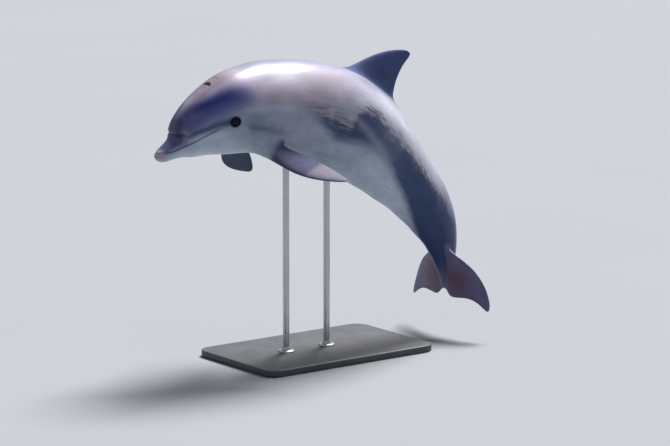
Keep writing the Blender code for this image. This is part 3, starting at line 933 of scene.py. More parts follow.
@dataclass(frozen=True)
class Anatomy:
    """All that shapes the animal: its body, its fins, and where its face lies."""

    body: BodyPlan = BodyPlan()
    skin_grow: float = 1.016  # the cage stands this much proud of the skin it makes
    dips: Table = field(default_factory=lambda: {
        0.00: -25.0, 0.08: -22.0, 0.16: -16.4, 0.24: -6.5, 0.32: 5.6, 0.40: 16.8, 0.48: 26.9,
        0.56: 36.3, 0.64: 42.5, 0.73: 49.5, 0.82: 60.0, 0.91: 79.5, 1.00: 100.8,
    })
    # Each stretch of the cage: its name, where it ends, and how many rows of faces it holds.
    stretches: tuple[tuple[str, float, int], ...] = (
        ("nose", 0.0015, 1), ("tip", 0.008, 1), ("beak", 0.050, 3), ("brow", 0.072, 3), ("head", 0.190, 4),
        ("neck", 0.208, 1), ("flipper", 0.268, 2), ("chest", 0.440, 3), ("dorsal", 0.565, 4), ("loin", 0.700, 2),
        ("stock", 0.885, 3), ("flukes", 0.975, 3),
    )
    columns: tuple[int, ...] = (0, 15, 34, 53, 72, 90, 108, 126, 144, 162, 180)
    flipper_column: int = 8
    fluke_column: int = 5
    dorsal: FinPlan = FinPlan(
        0.1105,
        (0.11, 0.42, 0.72, 0.91, 0.975, 1.0),
        {0.0: 0.003, 0.08: 0.011, 0.28: 0.027, 0.49: 0.047, 0.74: 0.076, 0.86: 0.096, 0.96: 0.117, 1.0: 0.130},
        {0.0: 0.152, 0.09: 0.149, 0.30: 0.1415, 0.46: 0.137, 0.62: 0.1365, 0.81: 0.1395, 0.96: 0.1445,
         1.0: 0.1395},
        {0.0: 0.036, 0.08: 0.029, 0.28: 0.0205, 0.5: 0.0155, 0.8: 0.010, 1.0: 0.0045},
    )
    flipper: FinPlan = FinPlan(
        0.165,
        (0.16, 0.42, 0.68, 0.90, 1.0),
        {0.0: 0.040, 0.15: 0.0450, 0.33: 0.0520, 0.51: 0.0490, 0.68: 0.0385, 0.83: 0.0235, 0.94: 0.0120,
         1.0: 0.0035},
        {0.0: -0.003, 0.15: -0.0085, 0.33: -0.0140, 0.51: -0.0155, 0.68: -0.0135, 0.83: -0.0110,
         0.94: -0.0070, 1.0: -0.0035},
        {0.0: 0.024, 0.15: 0.0175, 0.4: 0.0125, 0.8: 0.0065, 1.0: 0.0035},
    )
    fluke: FinPlan = FinPlan(
        0.1285,
        (0.13, 0.38, 0.66, 0.88, 0.97, 1.0),
        {0.0: 0.868, 0.18: 0.887, 0.30: 0.896, 0.52: 0.911, 0.70: 0.926, 0.83: 0.945, 0.925: 0.967,
         0.98: 0.986, 1.0: 0.9965},
        {0.0: 0.990, 0.12: 0.9995, 0.24: 0.9985, 0.40: 0.9920, 0.56: 0.9890, 0.68: 0.9895, 0.78: 0.9945,
         0.87: 1.0020, 0.94: 1.0090, 0.98: 1.0105, 1.0: 1.0045},
        {0.0: 0.026, 0.24: 0.0165, 0.5: 0.0115, 0.8: 0.0065, 1.0: 0.0035},
    )
    flipper_root: dict[Side, Triple] = field(default_factory=lambda: {
        Side.LEFT: (0.247, 0.066, -0.062), Side.RIGHT: (0.245, 0.066, -0.062),
    })
    flipper_edge: Triple = (-0.83, 0.39, -0.40)
    flipper_reach: dict[Side, Triple] = field(default_factory=lambda: {
        Side.LEFT: (0.550, 0.690, -0.471), Side.RIGHT: (0.566, 0.558, -0.620),
    })
    fluke_lift: float = 0.022  # how far a tip of the flukes is flexed towards the back
    mouth: Table = field(default_factory=lambda: {
        -0.03: 0.0075, 0.006: 0.0075, 0.017: 0.005, 0.035: 0.0018, 0.05: 0.002, 0.07: 0.0042,
        0.10: 0.0078, 0.136: 0.0105,
    })
    eye_radius: float = 0.0165
    eye_along: float = 0.157
    eye_angle: float = 83.0
    eye_sunk: float = 0.66  # share of the eye's radius that its centre lies under the skin
    blowhole_along: float = 0.158
    # The cage's first rings, which round the beak's tip: how wide each stays, and how far forward it moves.
    nose: tuple[tuple[float, float], ...] = ((0.38, 0.0042), (0.84, 0.0014))

    def spine(self, straight: bool = False) -> Spine:
        """The posed spine, or a straight one whose points keep their own places.

        Args:
            straight: whether it is the straight one.

        Returns:
            The spine.
        """
        if not straight:
            return Spine(self.dips, self.body.length)
        spine = Spine({0.0: 0.0, 1.0: 0.0}, self.body.length)
        spine.shift = Vector((spine.places[0] * self.body.length, 0, 0))
        return spine

    def dorsal_matrix(self, spine: Spine, front: float, back: float) -> Matrix:
        """The frame of the dorsal fin, which stands on the line between two places of the back."""
        first, last = (spine.place(self.body.point(place, 0)) for place in (front, back))
        return frame_matrix(first, last - first, spine.frame((front + back) / 2)[3])

    def flipper_matrix(self, spine: Spine, side: Side) -> Matrix:
        """The frame of one flipper, whose chord runs from its leading edge to its trailing edge.

        Args:
            spine: the spine it rides.
            side: the flipper's side.

        Returns:
            The frame as a matrix.
        """
        ways = (self.flipper_root[side], self.flipper_reach[side], self.flipper_edge)
        root, reach, edge = (Vector((x, y * side.value, z)) for x, y, z in ways)
        at = spine.matrix(root.x)
        reach.normalize()
        root = at @ Vector((0, root.y * self.body.length, root.z * self.body.length))
        turn = at.to_3x3()
        return frame_matrix(root, turn @ -(edge - reach * edge.dot(reach)), turn @ reach)

    def fluke_point(self, spine: Spine, side: Side, along: float, out: float, span: float) -> Vector:
        """A point of a fluke, which follows the bend of the tail and lifts towards its tip."""
        lift = self.fluke_lift * self.body.length * (span / (self.fluke.span * self.body.length)) ** 2
        return spine.place(Vector((along, side.value * span, lift + out)))

    def eye_skin(self, side: Side) -> tuple[Vector, Vector]:
        """Where an eye meets the straight body's skin, and the way the skin faces there.

        Args:
            side: the eye's side.

        Returns:
            The place in metres, and the way outward.
        """
        here, outward = (find(self.eye_along, self.eye_angle) for find in (self.body.point, self.body.normal))
        for way in (here, outward):
            way.y *= -side.value
        return here, outward


@dataclass(frozen=True)
class Shoot:
    """A fin to grow out of the body.

    patch is the first row, last row and middle column of the faces that it leaves out, and put places a point
    of the fin from its chord, its distance out of the fin's plane, and its span.
    """

    plan: FinPlan
    region: Region
    patch: tuple[int, int, int]
    put: Put


@dataclass
class Cage:
    """The whole animal as one closed coarse mesh on a spine."""

    anatomy: Anatomy
    spine: Spine
    points: list[Vector] = field(default_factory=list)
    faces: list[list[int]] = field(default_factory=list)
    regions: list[Region] = field(default_factory=list)
    rows: list[float] = field(default_factory=lambda: [0.0])

    def __post_init__(self) -> None:
        """Lays out the rows and columns, then builds the body and grows every fin."""
        marks = {}
        for name, end, count in self.anatomy.stretches:
            start, first = self.rows[-1], len(self.rows) - 1
            self.rows += [start + (end - start) * (k + 1) / count for k in range(count)]
            marks[name] = (first, first + count)
        half = self.anatomy.columns
        self.columns = [*half, *(360 - degrees for degrees in reversed(half[1:-1]))]
        self.fins = self.shoots(marks)
        self.add_body()
        for fin in self.fins:
            self.grow(fin)

    def index(self, row: int, column: int) -> int:
        """Index of the body's point at a row and a column."""
        return row * len(self.columns) + column % len(self.columns)

    def add_face(self, corners: Sequence[int], region: Region) -> None:
        """Adds one face, with a corner that comes twice kept once."""
        self.faces.append(list(dict.fromkeys(corners)))
        self.regions.append(region)

    def add_body(self) -> None:
        """Adds the rings of the body and its faces, leaving out the patches where fins grow."""
        plan, grow = self.anatomy.body, self.anatomy.skin_grow
        self.points += [
            self.spine.place(plan.point(along, degrees, grow)) for along in self.rows for degrees in self.columns
        ]
        for row, (share, reach) in enumerate(self.anatomy.nose):
            middle = plan.point(self.rows[row], 0, 0)
            for k, degrees in enumerate(self.columns):
                point = middle.lerp(plan.point(self.rows[row], degrees, grow), share)
                self.points[self.index(row, k)] = self.spine.place(point - Vector((reach, 0, 0)))
        left_out = {
            (row, column % len(self.columns))
            for first, last, middle in (fin.patch for fin in self.fins)
            for row in range(first, last)
            for column in (middle - 1, middle)
        }
        for row in range(len(self.rows) - 1):
            for column in range(len(self.columns)):
                if (row, column) not in left_out:
                    corners = ((row, column), (row, column + 1), (row + 1, column + 1), (row + 1, column))
                    self.add_face([self.index(*corner) for corner in corners], Region.BODY)
        for row, way in ((0, -1), (len(self.rows) - 1, 1)):
            for column in range(len(self.columns) // 2):
                corners = [self.index(row, place) for place in (column, column + 1, -column - 1, -column)]
                self.add_face(corners[::way], Region.BODY)

    def grow(self, fin: Shoot) -> None:
        """Grows a fin out of its patch of the body, ring by ring, and closes its tip.

        Args:
            fin: the fin.
        """
        first, last, middle = fin.patch
        down = [self.index(row, middle + 1) for row in range(first, last + 1)]
        back = [self.index(row, middle - 1) for row in range(last, first - 1, -1)]
        ring = [self.index(first, middle), *down, self.index(last, middle), *back]
        for share in fin.plan.rings:
            start = len(self.points)
            self.points += fin.plan.ring(self.anatomy.body.length, share, last - first, fin.put)
            following = list(range(start, len(self.points)))
            for k, corner in enumerate(ring):
                after = (k + 1) % len(ring)
                self.add_face([corner, ring[after], following[after], following[k]], fin.region)
            ring = following
        for k in range(len(ring) // 2):
            self.add_face([ring[k], ring[k + 1], ring[-k - 1], ring[-k]], fin.region)

    def shoots(self, marks: dict[str, tuple[int, int]]) -> list[Shoot]:
        """The dorsal fin, the flippers and the flukes, from the rows where each stretch begins and ends.

        Args:
            marks: the first and the last row of each stretch, by its name.

        Returns:
            The fins, in the order they grow.
        """
        plan = self.anatomy
        stand = plan.dorsal_matrix(self.spine, *(self.rows[row] for row in marks["dorsal"]))
        fins = [Shoot(plan.dorsal, Region.DORSAL, (*marks["dorsal"], 0), lambda x, y, z: stand @ Vector((x, -y, z)))]
        for side in Side:
            root = plan.flipper_matrix(self.spine, side)
            fins.append(Shoot(
                plan.flipper, Region.of("FLIPPER", side), (*marks["flipper"], -side.value * plan.flipper_column),
                lambda x, y, z, root=root: root @ Vector((-x, -y, z)),
            ))
            fins.append(Shoot(
                plan.fluke, Region.of("FLUKE", side), (*marks["flukes"], -side.value * plan.fluke_column),
                lambda x, y, z, side=side: plan.fluke_point(self.spine, side, x, side.value * y, z),
            ))
        return fins


# -------------------- the skin's mesh


def new_object(name: str, data: bpy.types.ID) -> bpy.types.Object:
    """An object of a mesh, a lamp or a camera, linked to the scene.

    Args:
        name: its name.
        data: what it shows.

    Returns:
        The object.
    """
    obj = bpy.data.objects.new(name, data)
    bpy.context.scene.collection.objects.link(obj)
    return obj


def filled(name: str, work: bmesh.types.BMesh, sharp: float = 180.0) -> bpy.types.Object:
    """A smooth object of a bmesh, which it frees, with edges of more than `sharp` degrees kept sharp.

    Args:
        name: the name of the object and its mesh.
        work: what it is made of.
        sharp: the turn above which an edge is kept sharp; at 180 none is.

    Returns:
        The object.
    """
    mesh = bpy.data.meshes.new(name)
    work.to_mesh(mesh)
    work.free()
    mesh.shade_smooth()
    if sharp < 180:
        mesh.set_sharp_from_angle(angle=math.radians(sharp))
    return new_object(name, mesh)


def dress(piece: bpy.types.Object, material: bpy.types.Material, slot: str, *nodes: str) -> None:
    """Gives a piece its finish, and lets it ride the body and stand for its nodes.

    Args:
        piece: the piece.
        material: its finish.
        slot: not used.
        nodes: the nodes it stands for.
    """
    piece.data.materials.append(material)
    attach(piece, ROOT)
    if nodes:
        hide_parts(*nodes)
    LOG.info("%s: %d points, %d faces", piece.name, len(piece.data.vertices), len(piece.data.polygons))


def read_all(items: bpy.types.bpy_prop_collection, name: str, kind: type, size: int = 1) -> Array:
    """One property of every item, which holds `size` numbers.

    Args:
        items: the items to read.
        name: the property's name.
        kind: the type of its numbers.
        size: how many numbers each item holds.

    Returns:
        The numbers in one row.
    """
    values = np.empty(len(items) * size, kind)
    items.foreach_get(name, values)
    return values


def coordinates(mesh: bpy.types.Mesh) -> Array:
    """The mesh's points as an array of N rows."""
    return read_all(mesh.vertices, "co", np.float64, 3).reshape(-1, 3)


def normals(mesh: bpy.types.Mesh) -> Array:
    """The smooth normals of the mesh's points as an array of N rows."""
    return read_all(mesh.vertex_normals, "vector", np.float32, 3).reshape(-1, 3).astype(float)


def move_points(mesh: bpy.types.Mesh, points: Array) -> None:
    """Puts the mesh's points at new places."""
    mesh.vertices.foreach_set("co", points.astype(np.float32).ravel())


def add_mask(mesh: bpy.types.Mesh, name: str, values: Array) -> None:
    """Keeps one number for each point of a mesh, for its material to read."""
    mesh.attributes.new(name, "FLOAT", "POINT").data.foreach_set("value", values.astype(np.float32))


def relax(mesh: bpy.types.Mesh, share: Array, rounds: int, outer: float = 1.0) -> None:
    """Rounds off a mesh: draws its points in or out towards the level of their neighbours.

    Args:
        mesh: the mesh, which is changed.
        share: how much each point takes part, from 0 to 1.
        rounds: how many times it is done.
        outer: how much of it falls to points that stand proud, where the rest fills hollows.
    """
    ends = read_all(mesh.edges, "vertices", np.int32, 2).reshape(-1, 2)
    spots, ends = np.unique(ends[(share[ends] > 0).any(1)], return_inverse=True)
    first, second = ends.reshape(-1, 2).T
    share, count = share[spots], np.bincount(ends.ravel(), minlength=len(spots))
    points = coordinates(mesh)
    near = points[spots]
    for done in range(rounds + 1):
        if done % RELAX_FRESH == 0 or done == rounds:
            points[spots] = near
            move_points(mesh, points)
            mesh.update()
            way = normals(mesh)[spots]
        around = [
            np.bincount(first, near[second, k], len(spots)) + np.bincount(second, near[first, k], len(spots))
            for k in range(3)
        ]
        rise = ((np.stack(around, 1) / count[:, None] - near) * way).sum(1)
        near += way * (RELAX_STEP * share * np.where(rise > 0, rise, outer * rise))[:, None]


@dataclass
class SkinMesh:
    """The skin as a smooth mesh, with the straight place of every point kept in attributes.

    The posed mesh is the one that shows. A twin on a straight spine, with the same faces, gives each point's
    straight place.
    """

    anatomy: Anatomy
    spine: Spine
    levels: int = 3
    place_name: str = "straight"
    curve_names: tuple[str, ...] = ("outer_x", "outer_y", "outer_z", "level")

    def __post_init__(self) -> None:
        """Smooths the posed cage and its straight twin."""
        posed = Cage(self.anatomy, self.spine)
        straight = Cage(self.anatomy, self.anatomy.spine(straight=True))
        mesh, twin = self.smoothed(posed, unwrap=True), self.smoothed(straight, unwrap=False)
        self.work = bmesh.new()
        self.work.from_mesh(mesh)
        layers = self.work.verts.layers.float_vector
        for name in (self.place_name, *self.curve_names):
            layers.new(name)
        self.place = layers[self.place_name]
        self.curve = [layers[name] for name in self.curve_names]
        for vert, place in zip(self.work.verts, coordinates(twin), strict=True):
            vert[self.place] = place
        for unused in (mesh, twin):
            bpy.data.meshes.remove(unused)

    def smoothed(self, cage: Cage, unwrap: bool) -> bpy.types.Mesh:
        """The cage's mesh after subdivision, with each face's region as its material index.

        Args:
            cage: the cage.
            unwrap: whether it gets the bake's map.

        Returns:
            The mesh.
        """
        mesh = bpy.data.meshes.new("skin_cage")
        mesh.from_pydata([tuple(point) for point in cage.points], [], cage.faces)
        for _ in Region:
            mesh.materials.append(None)
        mesh.polygons.foreach_set("material_index", [region.value for region in cage.regions])
        obj = new_object("skin_cage", mesh)
        if unwrap:
            self.unwrap(obj, cage)
        smoother = obj.modifiers.new("Smooth", "SUBSURF")
        smoother.levels = smoother.render_levels = self.levels
        graph = bpy.context.evaluated_depsgraph_get()
        made = bpy.data.meshes.new_from_object(
            obj.evaluated_get(graph), preserve_all_data_layers=True, depsgraph=graph
        )
        bpy.data.objects.remove(obj)
        bpy.data.meshes.remove(mesh)
        return made

    def unwrap(self, obj: bpy.types.Object, cage: Cage) -> None:
        """Gives the cage the bake's map: cut along the belly, round the root of each fin and down its edge.

        Args:
            obj: the cage's object.
            cage: the cage.
        """
        mesh = obj.data
        mesh.uv_layers.new(name="OFBake")
        regions = {}
        for face, region in zip(cage.faces, cage.regions, strict=True):
            for k, corner in enumerate(face):
                regions.setdefault(frozenset((corner, face[(k + 1) % len(face)])), set()).add(region)
        keel = {cage.index(row, len(cage.columns) // 2) for row in range(len(cage.rows))}
        trailing = self.trailing_edges(cage)
        for edge in mesh.edges:
            pair = frozenset(edge.vertices)
            edge.use_seam = len(regions[pair]) > 1 or pair <= keel or pair in trailing
        bpy.context.view_layer.objects.active = obj
        obj.select_set(True)
        bpy.ops.object.mode_set(mode="EDIT")
        bpy.ops.mesh.select_all(action="SELECT")
        bpy.ops.uv.unwrap(method="ANGLE_BASED", margin=0.004)
        bpy.ops.object.mode_set(mode="OBJECT")

    @staticmethod
    def trailing_edges(cage: Cage) -> set[frozenset[int]]:
        """The edges that run along each fin's trailing edge, from its root to its tip.

        Args:
            cage: the cage.

        Returns:
            Each edge as a pair of points.
        """
        found, start = set(), len(cage.rows) * len(cage.columns)
        for fin in cage.fins:
            half, rings = fin.patch[1] - fin.patch[0] + 2, len(fin.plan.rings)
            line = [start + ring * 2 * half + half for ring in range(rings)]
            found |= {frozenset(pair) for pair in zip(line, line[1:], strict=False)}
            start += rings * 2 * half
        return found

    def note_curve(self, vert: bmesh.types.BMVert) -> None:
        """Keeps what `curved` needs of a point: its normal's outer product, and its height along it.

        Args:
            vert: the point, which is changed.
        """
        way = vert.normal
        for k in range(3):
            vert[self.curve[k]] = way * way[k]
        vert[self.curve[3]] = way * way.dot(vert.co)

    def curved(self, vert: bmesh.types.BMVert) -> Vector:
        """The point moved onto the smooth surface through the corners between which it was made."""
        off = Vector([vert[self.curve[k]].dot(vert.co) for k in range(3)]) - vert[self.curve[3]]
        return vert.co - off / 2

    def refine(self, near: Callable[..., Array], *reaches: float) -> None:
        """Splits each edge of the faces that `near` picks by the straight places of their middles.

        Args:
            near: picks from the plan of the animal and the middles.
            reaches: how near the faces are to lie.
        """
        faces = list(self.work.faces)
        middles = np.array([np.mean([vert[self.place] for vert in face.verts], 0) for face in faces])
        picked = [faces[k] for k in np.flatnonzero(near(self.anatomy, middles, *reaches))]
        edges = list(dict.fromkeys(edge for face in picked for edge in face.edges))
        for vert in dict.fromkeys(vert for edge in edges for vert in edge.verts):
            self.note_curve(vert)
        before = set(self.work.verts)
        bmesh.ops.subdivide_edges(self.work, edges=edges, cuts=1, use_grid_fill=True)
        for vert in self.work.verts:
            if vert not in before:
                vert.co = self.curved(vert)
        self.work.normal_update()

    def finish(self) -> tuple[bpy.types.Mesh, Array]:
        """Returns the finished mesh and the straight places of its points.

        Returns:
            Both, with the places as N rows.
        """
        for name in self.curve_names:
            layers = self.work.verts.layers.float_vector
            layers.remove(layers[name])
        mesh = bpy.data.meshes.new("skin")
        self.work.to_mesh(mesh)
        self.work.free()
        places = read_all(mesh.attributes[self.place_name].data, "vector", np.float64, 3)
        return mesh, places.reshape(-1, 3)


# -------------------- sculpting and markings


@dataclass
class SkinPlaces:
    """Where each point of the skin lies on the straight body, and what it belongs to."""

    anatomy: Anatomy
    mesh: bpy.types.Mesh
    places: Array

    def __post_init__(self) -> None:
        """Works out each point's share of the length, its turn round the body, and its share of each fin."""
        self.length = self.anatomy.body.length
        self.along, self.turn = self.anatomy.body.turn_at(self.places)
        self.x, self.y, self.z = self.places.T
        self.weights = self.region_weights()
        self.body = self.weights[Region.BODY]

    def region_weights(self) -> dict[Region, Array]:
        """The share of each point's faces that belongs to each region.

        Returns:
            The shares by region, from 0 to 1.
        """
        loops, totals, kinds = (
            read_all(items, name, np.int32)
            for items, name in (
                (self.mesh.loops, "vertex_index"), (self.mesh.polygons, "loop_total"),
                (self.mesh.polygons, "material_index"),
            )
        )
        kinds = np.repeat(kinds, totals)
        count = np.bincount(loops, minlength=len(self.places))
        return {
            region: np.bincount(loops, kinds == region.value, len(self.places)) / np.maximum(count, 1)
            for region in Region
        }

    def in_frame(self, matrix: Matrix) -> Array:
        """The straight places in the axes of a matrix."""
        inverse = np.array(matrix.inverted())
        return self.places @ inverse[:3, :3].T + inverse[:3, 3]

    def round_point(self, centre: Vector, outward: Vector) -> tuple[Array, Array, Array]:
        """Places round a point of the skin: how far tailward, how far up the side, and how far outward."""
        ways = (*side_axes(Vector((1, 0, 0)), outward), outward)
        return tuple((self.places - np.array(centre)) @ np.array(way) for way in ways)


@dataclass
class Face:
    """The mouth, the crease above the beak, the eyes and the blowhole, cut and raised in the skin.

    A roll is (height, place, width): a round swelling beside a line or round a hole.
    """

    split_to: float = 0.150  # how far back the faces at the mouth's line are made finer
    split_round: float = 86.0  # how far round the head those at the crease are, in degrees
    lip_depth: float = 0.0036
    lip_width: float = 0.0022
    lip_rolls: tuple[Roll, ...] = ((0.0011, -0.0070, 0.0045), (0.0008, 0.0065, 0.0042))
    lip_deepens: Span = (0.006, 0.034)
    # how much painted shade lies in the mouth's line, and at its corner
    lip_dark: float = 0.75
    gape: Span = (0.112, 0.140)
    corner: Roll = (0.0016, 0.140, 0.010)
    corner_dark: float = 0.35
    crease_depth: float = 0.0050
    crease_width: float = 0.0042
    crease_roll: Roll = (0.0016, 0.009, 0.007)
    crease_ends: Span = (48, 82)
    crease_line: Table = field(default_factory=lambda: {0: 0.0535, 30: 0.0550, 52: 0.0600, 80: 0.0690})
    lid_length: float = 0.0150
    lid_height: float = 0.0112
    lid_thickness: float = 0.0013
    lid_ends: Span = (1.30, 1.75)
    lid_roll: Roll = (0.0014, 0.0190, 0.0075)
    # Folds above, below and all round the eye, and how far up or down the side each comes in.
    folds: tuple[tuple[Roll, Span | None], ...] = (
        ((0.0017, 1.80, 0.12), (-0.012, 0.004)),
        ((0.0014, 2.15, 0.13), (0.010, -0.004)),
        ((0.0009, 2.60, 0.15), None),
    )
    eye_hollow: float = 0.0125  # how far the skin goes down inside the lids
    rim: Span = (0.0195, 0.0275)  # where the dark skin round an eye begins to fade, and ends
    hole_half_width: float = 0.025
    hole_bend: float = 0.0065  # how far the blowhole's ends lie nearer the beak than its middle
    hole_depth: float = 0.0080
    hole_width: float = 0.0056
    hole_plug: Roll = (0.0016, -0.015, 0.013)
    hole_rim: Roll = (0.0015, 0.0075, 0.0055)
    hole_fold: Roll = (0.0014, 0.036, 0.0040)

    def near(self, anatomy: Anatomy, middles: Array, reach: float, eye: float, hole: float) -> Array:
        """Which faces lie near the features.

        Args:
            anatomy: the animal's plan.
            middles: the straight places of the faces' middles.
            reach: how near the mouth's line and the crease they are to be, in metres.
            eye: how near an eye.
            hole: how near the blowhole.

        Returns:
            Whether each face is near enough to one of them.
        """
        along, turn = anatomy.body.turn_at(middles)
        length = anatomy.body.length
        gap = np.abs(middles[:, 2] - along_table(anatomy.mouth, along) * length)
        near = (gap < reach) & (along < self.split_to)
        crease = np.abs(along - along_table(self.crease_line, turn)) * length
        near |= (crease < reach) & (turn < self.split_round) & (along > 0.04)
        for side in Side:
            centre, _ = anatomy.eye_skin(side)
            near |= np.linalg.norm(middles - np.array(centre), axis=1) < eye
        top = np.array(anatomy.body.point(anatomy.blowhole_along, 0))
        return near | (np.linalg.norm(middles - top, axis=1) < hole)

    def mouth(self, at: SkinPlaces) -> tuple[Array, Array]:
        """The height of the lips and the line between them, and the painted shade in the line.

        Args:
            at: where the skin's points lie.

        Returns:
            The height in metres, and the painted shade from 0 to 1.
        """
        gap = at.z - along_table(at.anatomy.mouth, at.along) * at.length
        front = (at.along < 0.2) * at.body
        closing = (1 - ease(*self.gape, at.along)) * front
        deep = (0.25 + 0.75 * ease(*self.lip_deepens, at.along)) * closing
        depth, place, width = self.corner
        corner = bump(at.x - place * at.length, width) * bump(gap, 0.7 * width) * front
        height = sum(roll(gap, lip) for lip in self.lip_rolls) * closing
        height -= self.lip_depth * bump(gap, self.lip_width) * deep + depth * corner
        dark = self.lip_dark * bump(gap, 1.25 * self.lip_width) * deep + self.corner_dark * corner
        return height, np.clip(dark, 0, 1)

    def crease(self, at: SkinPlaces) -> tuple[Array, Array]:
        """The fold where the melon meets the beak, and the painted shade in it.

        Args:
            at: where the skin's points lie.

        Returns:
            The height in metres, and the painted shade from 0 to 1.
        """
        off = (at.along - along_table(self.crease_line, at.turn)) * at.length
        side = (1 - ease(*self.crease_ends, at.turn)) * at.body
        fold = bump(off, self.crease_width) * side
        return roll(off, self.crease_roll) * side - self.crease_depth * fold, fold

    def lids(self, at: SkinPlaces) -> tuple[Array, Array, Array]:
        """The lids and the folds round both eyes, how dark the rims are, and how near the eyes lie.

        Args:
            at: where the skin's points lie.

        Returns:
            The height in metres, and both shares from 0 to 1.
        """
        height, rim, near = (np.zeros(len(at.x)) for _ in range(3))
        radius, sunk = at.anatomy.eye_radius, at.anatomy.eye_radius * at.anatomy.eye_sunk
        for side in Side:
            u, v, out = at.round_point(*at.anatomy.eye_skin(side))
            far = np.hypot(u, v)
            here = (far < 0.12) & (np.abs(out) < 0.06)
            opening = np.hypot(u / self.lid_length, (v + 0.0006) / self.lid_height)
            ball = np.sqrt(np.clip(radius**2 - far**2, 0, None)) - sunk
            lid = np.maximum(ball + self.lid_thickness, 0) * (1 - ease(*self.lid_ends, opening))
            lid += roll(far, self.lid_roll)
            for fold, start in self.folds:
                lid -= roll(opening, fold) * (1 if start is None else ease(*start, v))
            lid = np.where(opening < 1.0, lid - self.eye_hollow * ease(1.0, 0.90, opening), lid)
            height += lid * here
            rim = np.maximum(rim, (1 - ease(*self.rim, np.hypot(0.93 * u, 1.04 * v))) * here)
            near = np.maximum(near, (1 - ease(0.02, 0.05, far)) * here)
        return height, rim, near

    def blowhole(self, at: SkinPlaces) -> tuple[Array, Array]:
        """The blowhole's crescent on the crown, and the painted shade in it.

        Args:
            at: where the skin's points lie.

        Returns:
            The height in metres, and the painted shade from 0 to 1.
        """
        u = at.x - at.anatomy.blowhole_along * at.length
        here = (np.abs(u) < 0.12) & (at.z > 0) * (at.body > 0.5)
        across = np.abs(at.y) / self.hole_half_width
        bent = u + self.hole_bend * across**2
        slit = bump(bent, self.hole_width) * (1 - ease(0.75, 1.05, across))
        dark = bump(bent + 0.0015, 1.35 * self.hole_width) * (1 - ease(0.72, 1.0, across))
        depth, behind, width = self.hole_plug
        plug = depth * bump(np.hypot(bent - behind, at.y * 0.75), width)
        rim = roll(bent, self.hole_rim) * (1 - ease(0.8, 1.5, across))
        fold = roll(u + 3.0 * at.y**2, self.hole_fold) * (1 - ease(0.56, 1.2, across))
        return (plug + rim - self.hole_depth * slit - fold) * here, np.clip(1.5 * dark + 250 * fold, 0, 1) * here


@dataclass
class Underside:
    """The navel, the genital slit and the vent along the middle of the belly.

    A pit is (its place along the body, its depth, its width, how much narrower it is along than across).
    """

    navel: Pit = (0.500, 0.0022, 0.0055, 0.6)
    vent: Pit = (0.700, 0.0022, 0.0045, 0.5)
    slit: Span = (0.628, 0.672)
    slit_ends: float = 0.006
    slit_groove: Roll = (0.0034, 0.0, 0.0026)
    slit_lips: Roll = (0.0012, 0.008, 0.005)
    split: tuple[Span, ...] = ((0.488, 0.512), (0.618, 0.712))  # the stretches whose faces are made finer
    split_from: float = 150.0  # and from how far round the body, in degrees

    def near(self, anatomy: Anatomy, middles: Array, reach: float) -> Array:
        """Which faces lie near the middle line of the belly where these are.

        Args:
            anatomy: the animal's plan.
            middles: the straight places of the faces' middles.
            reach: how near the middle line they are to be, in metres.

        Returns:
            Whether each face is near enough.
        """
        along, turn = anatomy.body.turn_at(middles)
        places = np.any([(start < along) & (along < end) for start, end in self.split], axis=0)
        return (turn > self.split_from) & (np.abs(middles[:, 1]) < reach) & places

    def folds(self, at: SkinPlaces) -> Array:
        """The height of the folds, below nought.

        Args:
            at: where the skin's points lie.

        Returns:
            The height in metres.
        """
        ends = window(*((end - self.slit_ends, end + self.slit_ends) for end in self.slit), at.along)
        depths = (roll(at.y, self.slit_groove) - roll(np.abs(at.y), self.slit_lips)) * ends
        for place, depth, width, narrow in (self.navel, self.vent):
            depths += depth * bump(np.hypot((at.along - place) * at.length * narrow, at.y), width)
        return -depths * at.body * (at.z < 0)


@dataclass
class BodyForm:
    """The gentle unevenness of the blubber and the creases where the body bends."""

    swell: float = 0.0009
    neck_creases: tuple[float, ...] = (0.196, 0.209, 0.224)
    crease: Roll = (0.0007, 0.0, 0.0065)
    crease_wander: float = 0.010

    def height(self, at: SkinPlaces) -> Array:
        """The height of the unevenness over the smooth skin.

        Args:
            at: where the skin's points lie.

        Returns:
            The height in metres.
        """
        x, y, z = at.x, at.y, at.z
        wave = np.sin(23 * x + 9 * z + 2.0 * np.sin(11 * y + 4 * x)) * np.sin(19 * z - 13 * x + 1.3)
        wave += 0.6 * np.sin(41 * x - 17 * y + 3.1 * np.sin(13 * z)) * np.sin(37 * y + 21 * z + 0.7)
        height = self.swell * wave * at.body * ease(0.05, 0.16, at.along)
        lower = window((95, 120), (150, 172), at.turn) * at.body
        for k, place in enumerate(self.neck_creases):
            off = x - (place + self.crease_wander * np.sin(0.07 * at.turn + k)) * at.length
            height -= roll(off, self.crease) * lower
        return height


@dataclass(frozen=True)
class Stripe:
    """A soft stripe along each side of the body."""

    line: Table  # its middle, in degrees round the body from the crest of the back
    width: Table | float
    rise: Span  # where it comes in, along the body
    fall: Span  # where it ends

    def mask(self, at: SkinPlaces) -> Array:
        """How strong the stripe is at each point."""
        width = self.width if isinstance(self.width, float) else along_table(self.width, at.along)
        return bump(at.turn - along_table(self.line, at.along), width) * window(self.rise, self.fall, at.along)


@dataclass(frozen=True)
class Patch:
    """A soft oval patch on each side of the body: its place along and round it, and its size both ways."""

    along: float
    turn: float
    length: float
    height: float

    def mask(self, at: SkinPlaces) -> Array:
        """How strong the patch is at each point."""
        return bump(at.along - self.along, self.length) * bump(at.turn - self.turn, self.height)


@dataclass(frozen=True)
class Cap:
    """A soft area over the crest of the back."""

    rise: Span  # where it comes in, along the body
    fall: Span  # where it ends
    sides: Span  # where it fades down the sides, in degrees

    def mask(self, at: SkinPlaces) -> Array:
        """How strong the area is at each point."""
        return (1 - ease(*self.sides, at.turn)) * window(self.rise, self.fall, at.along)


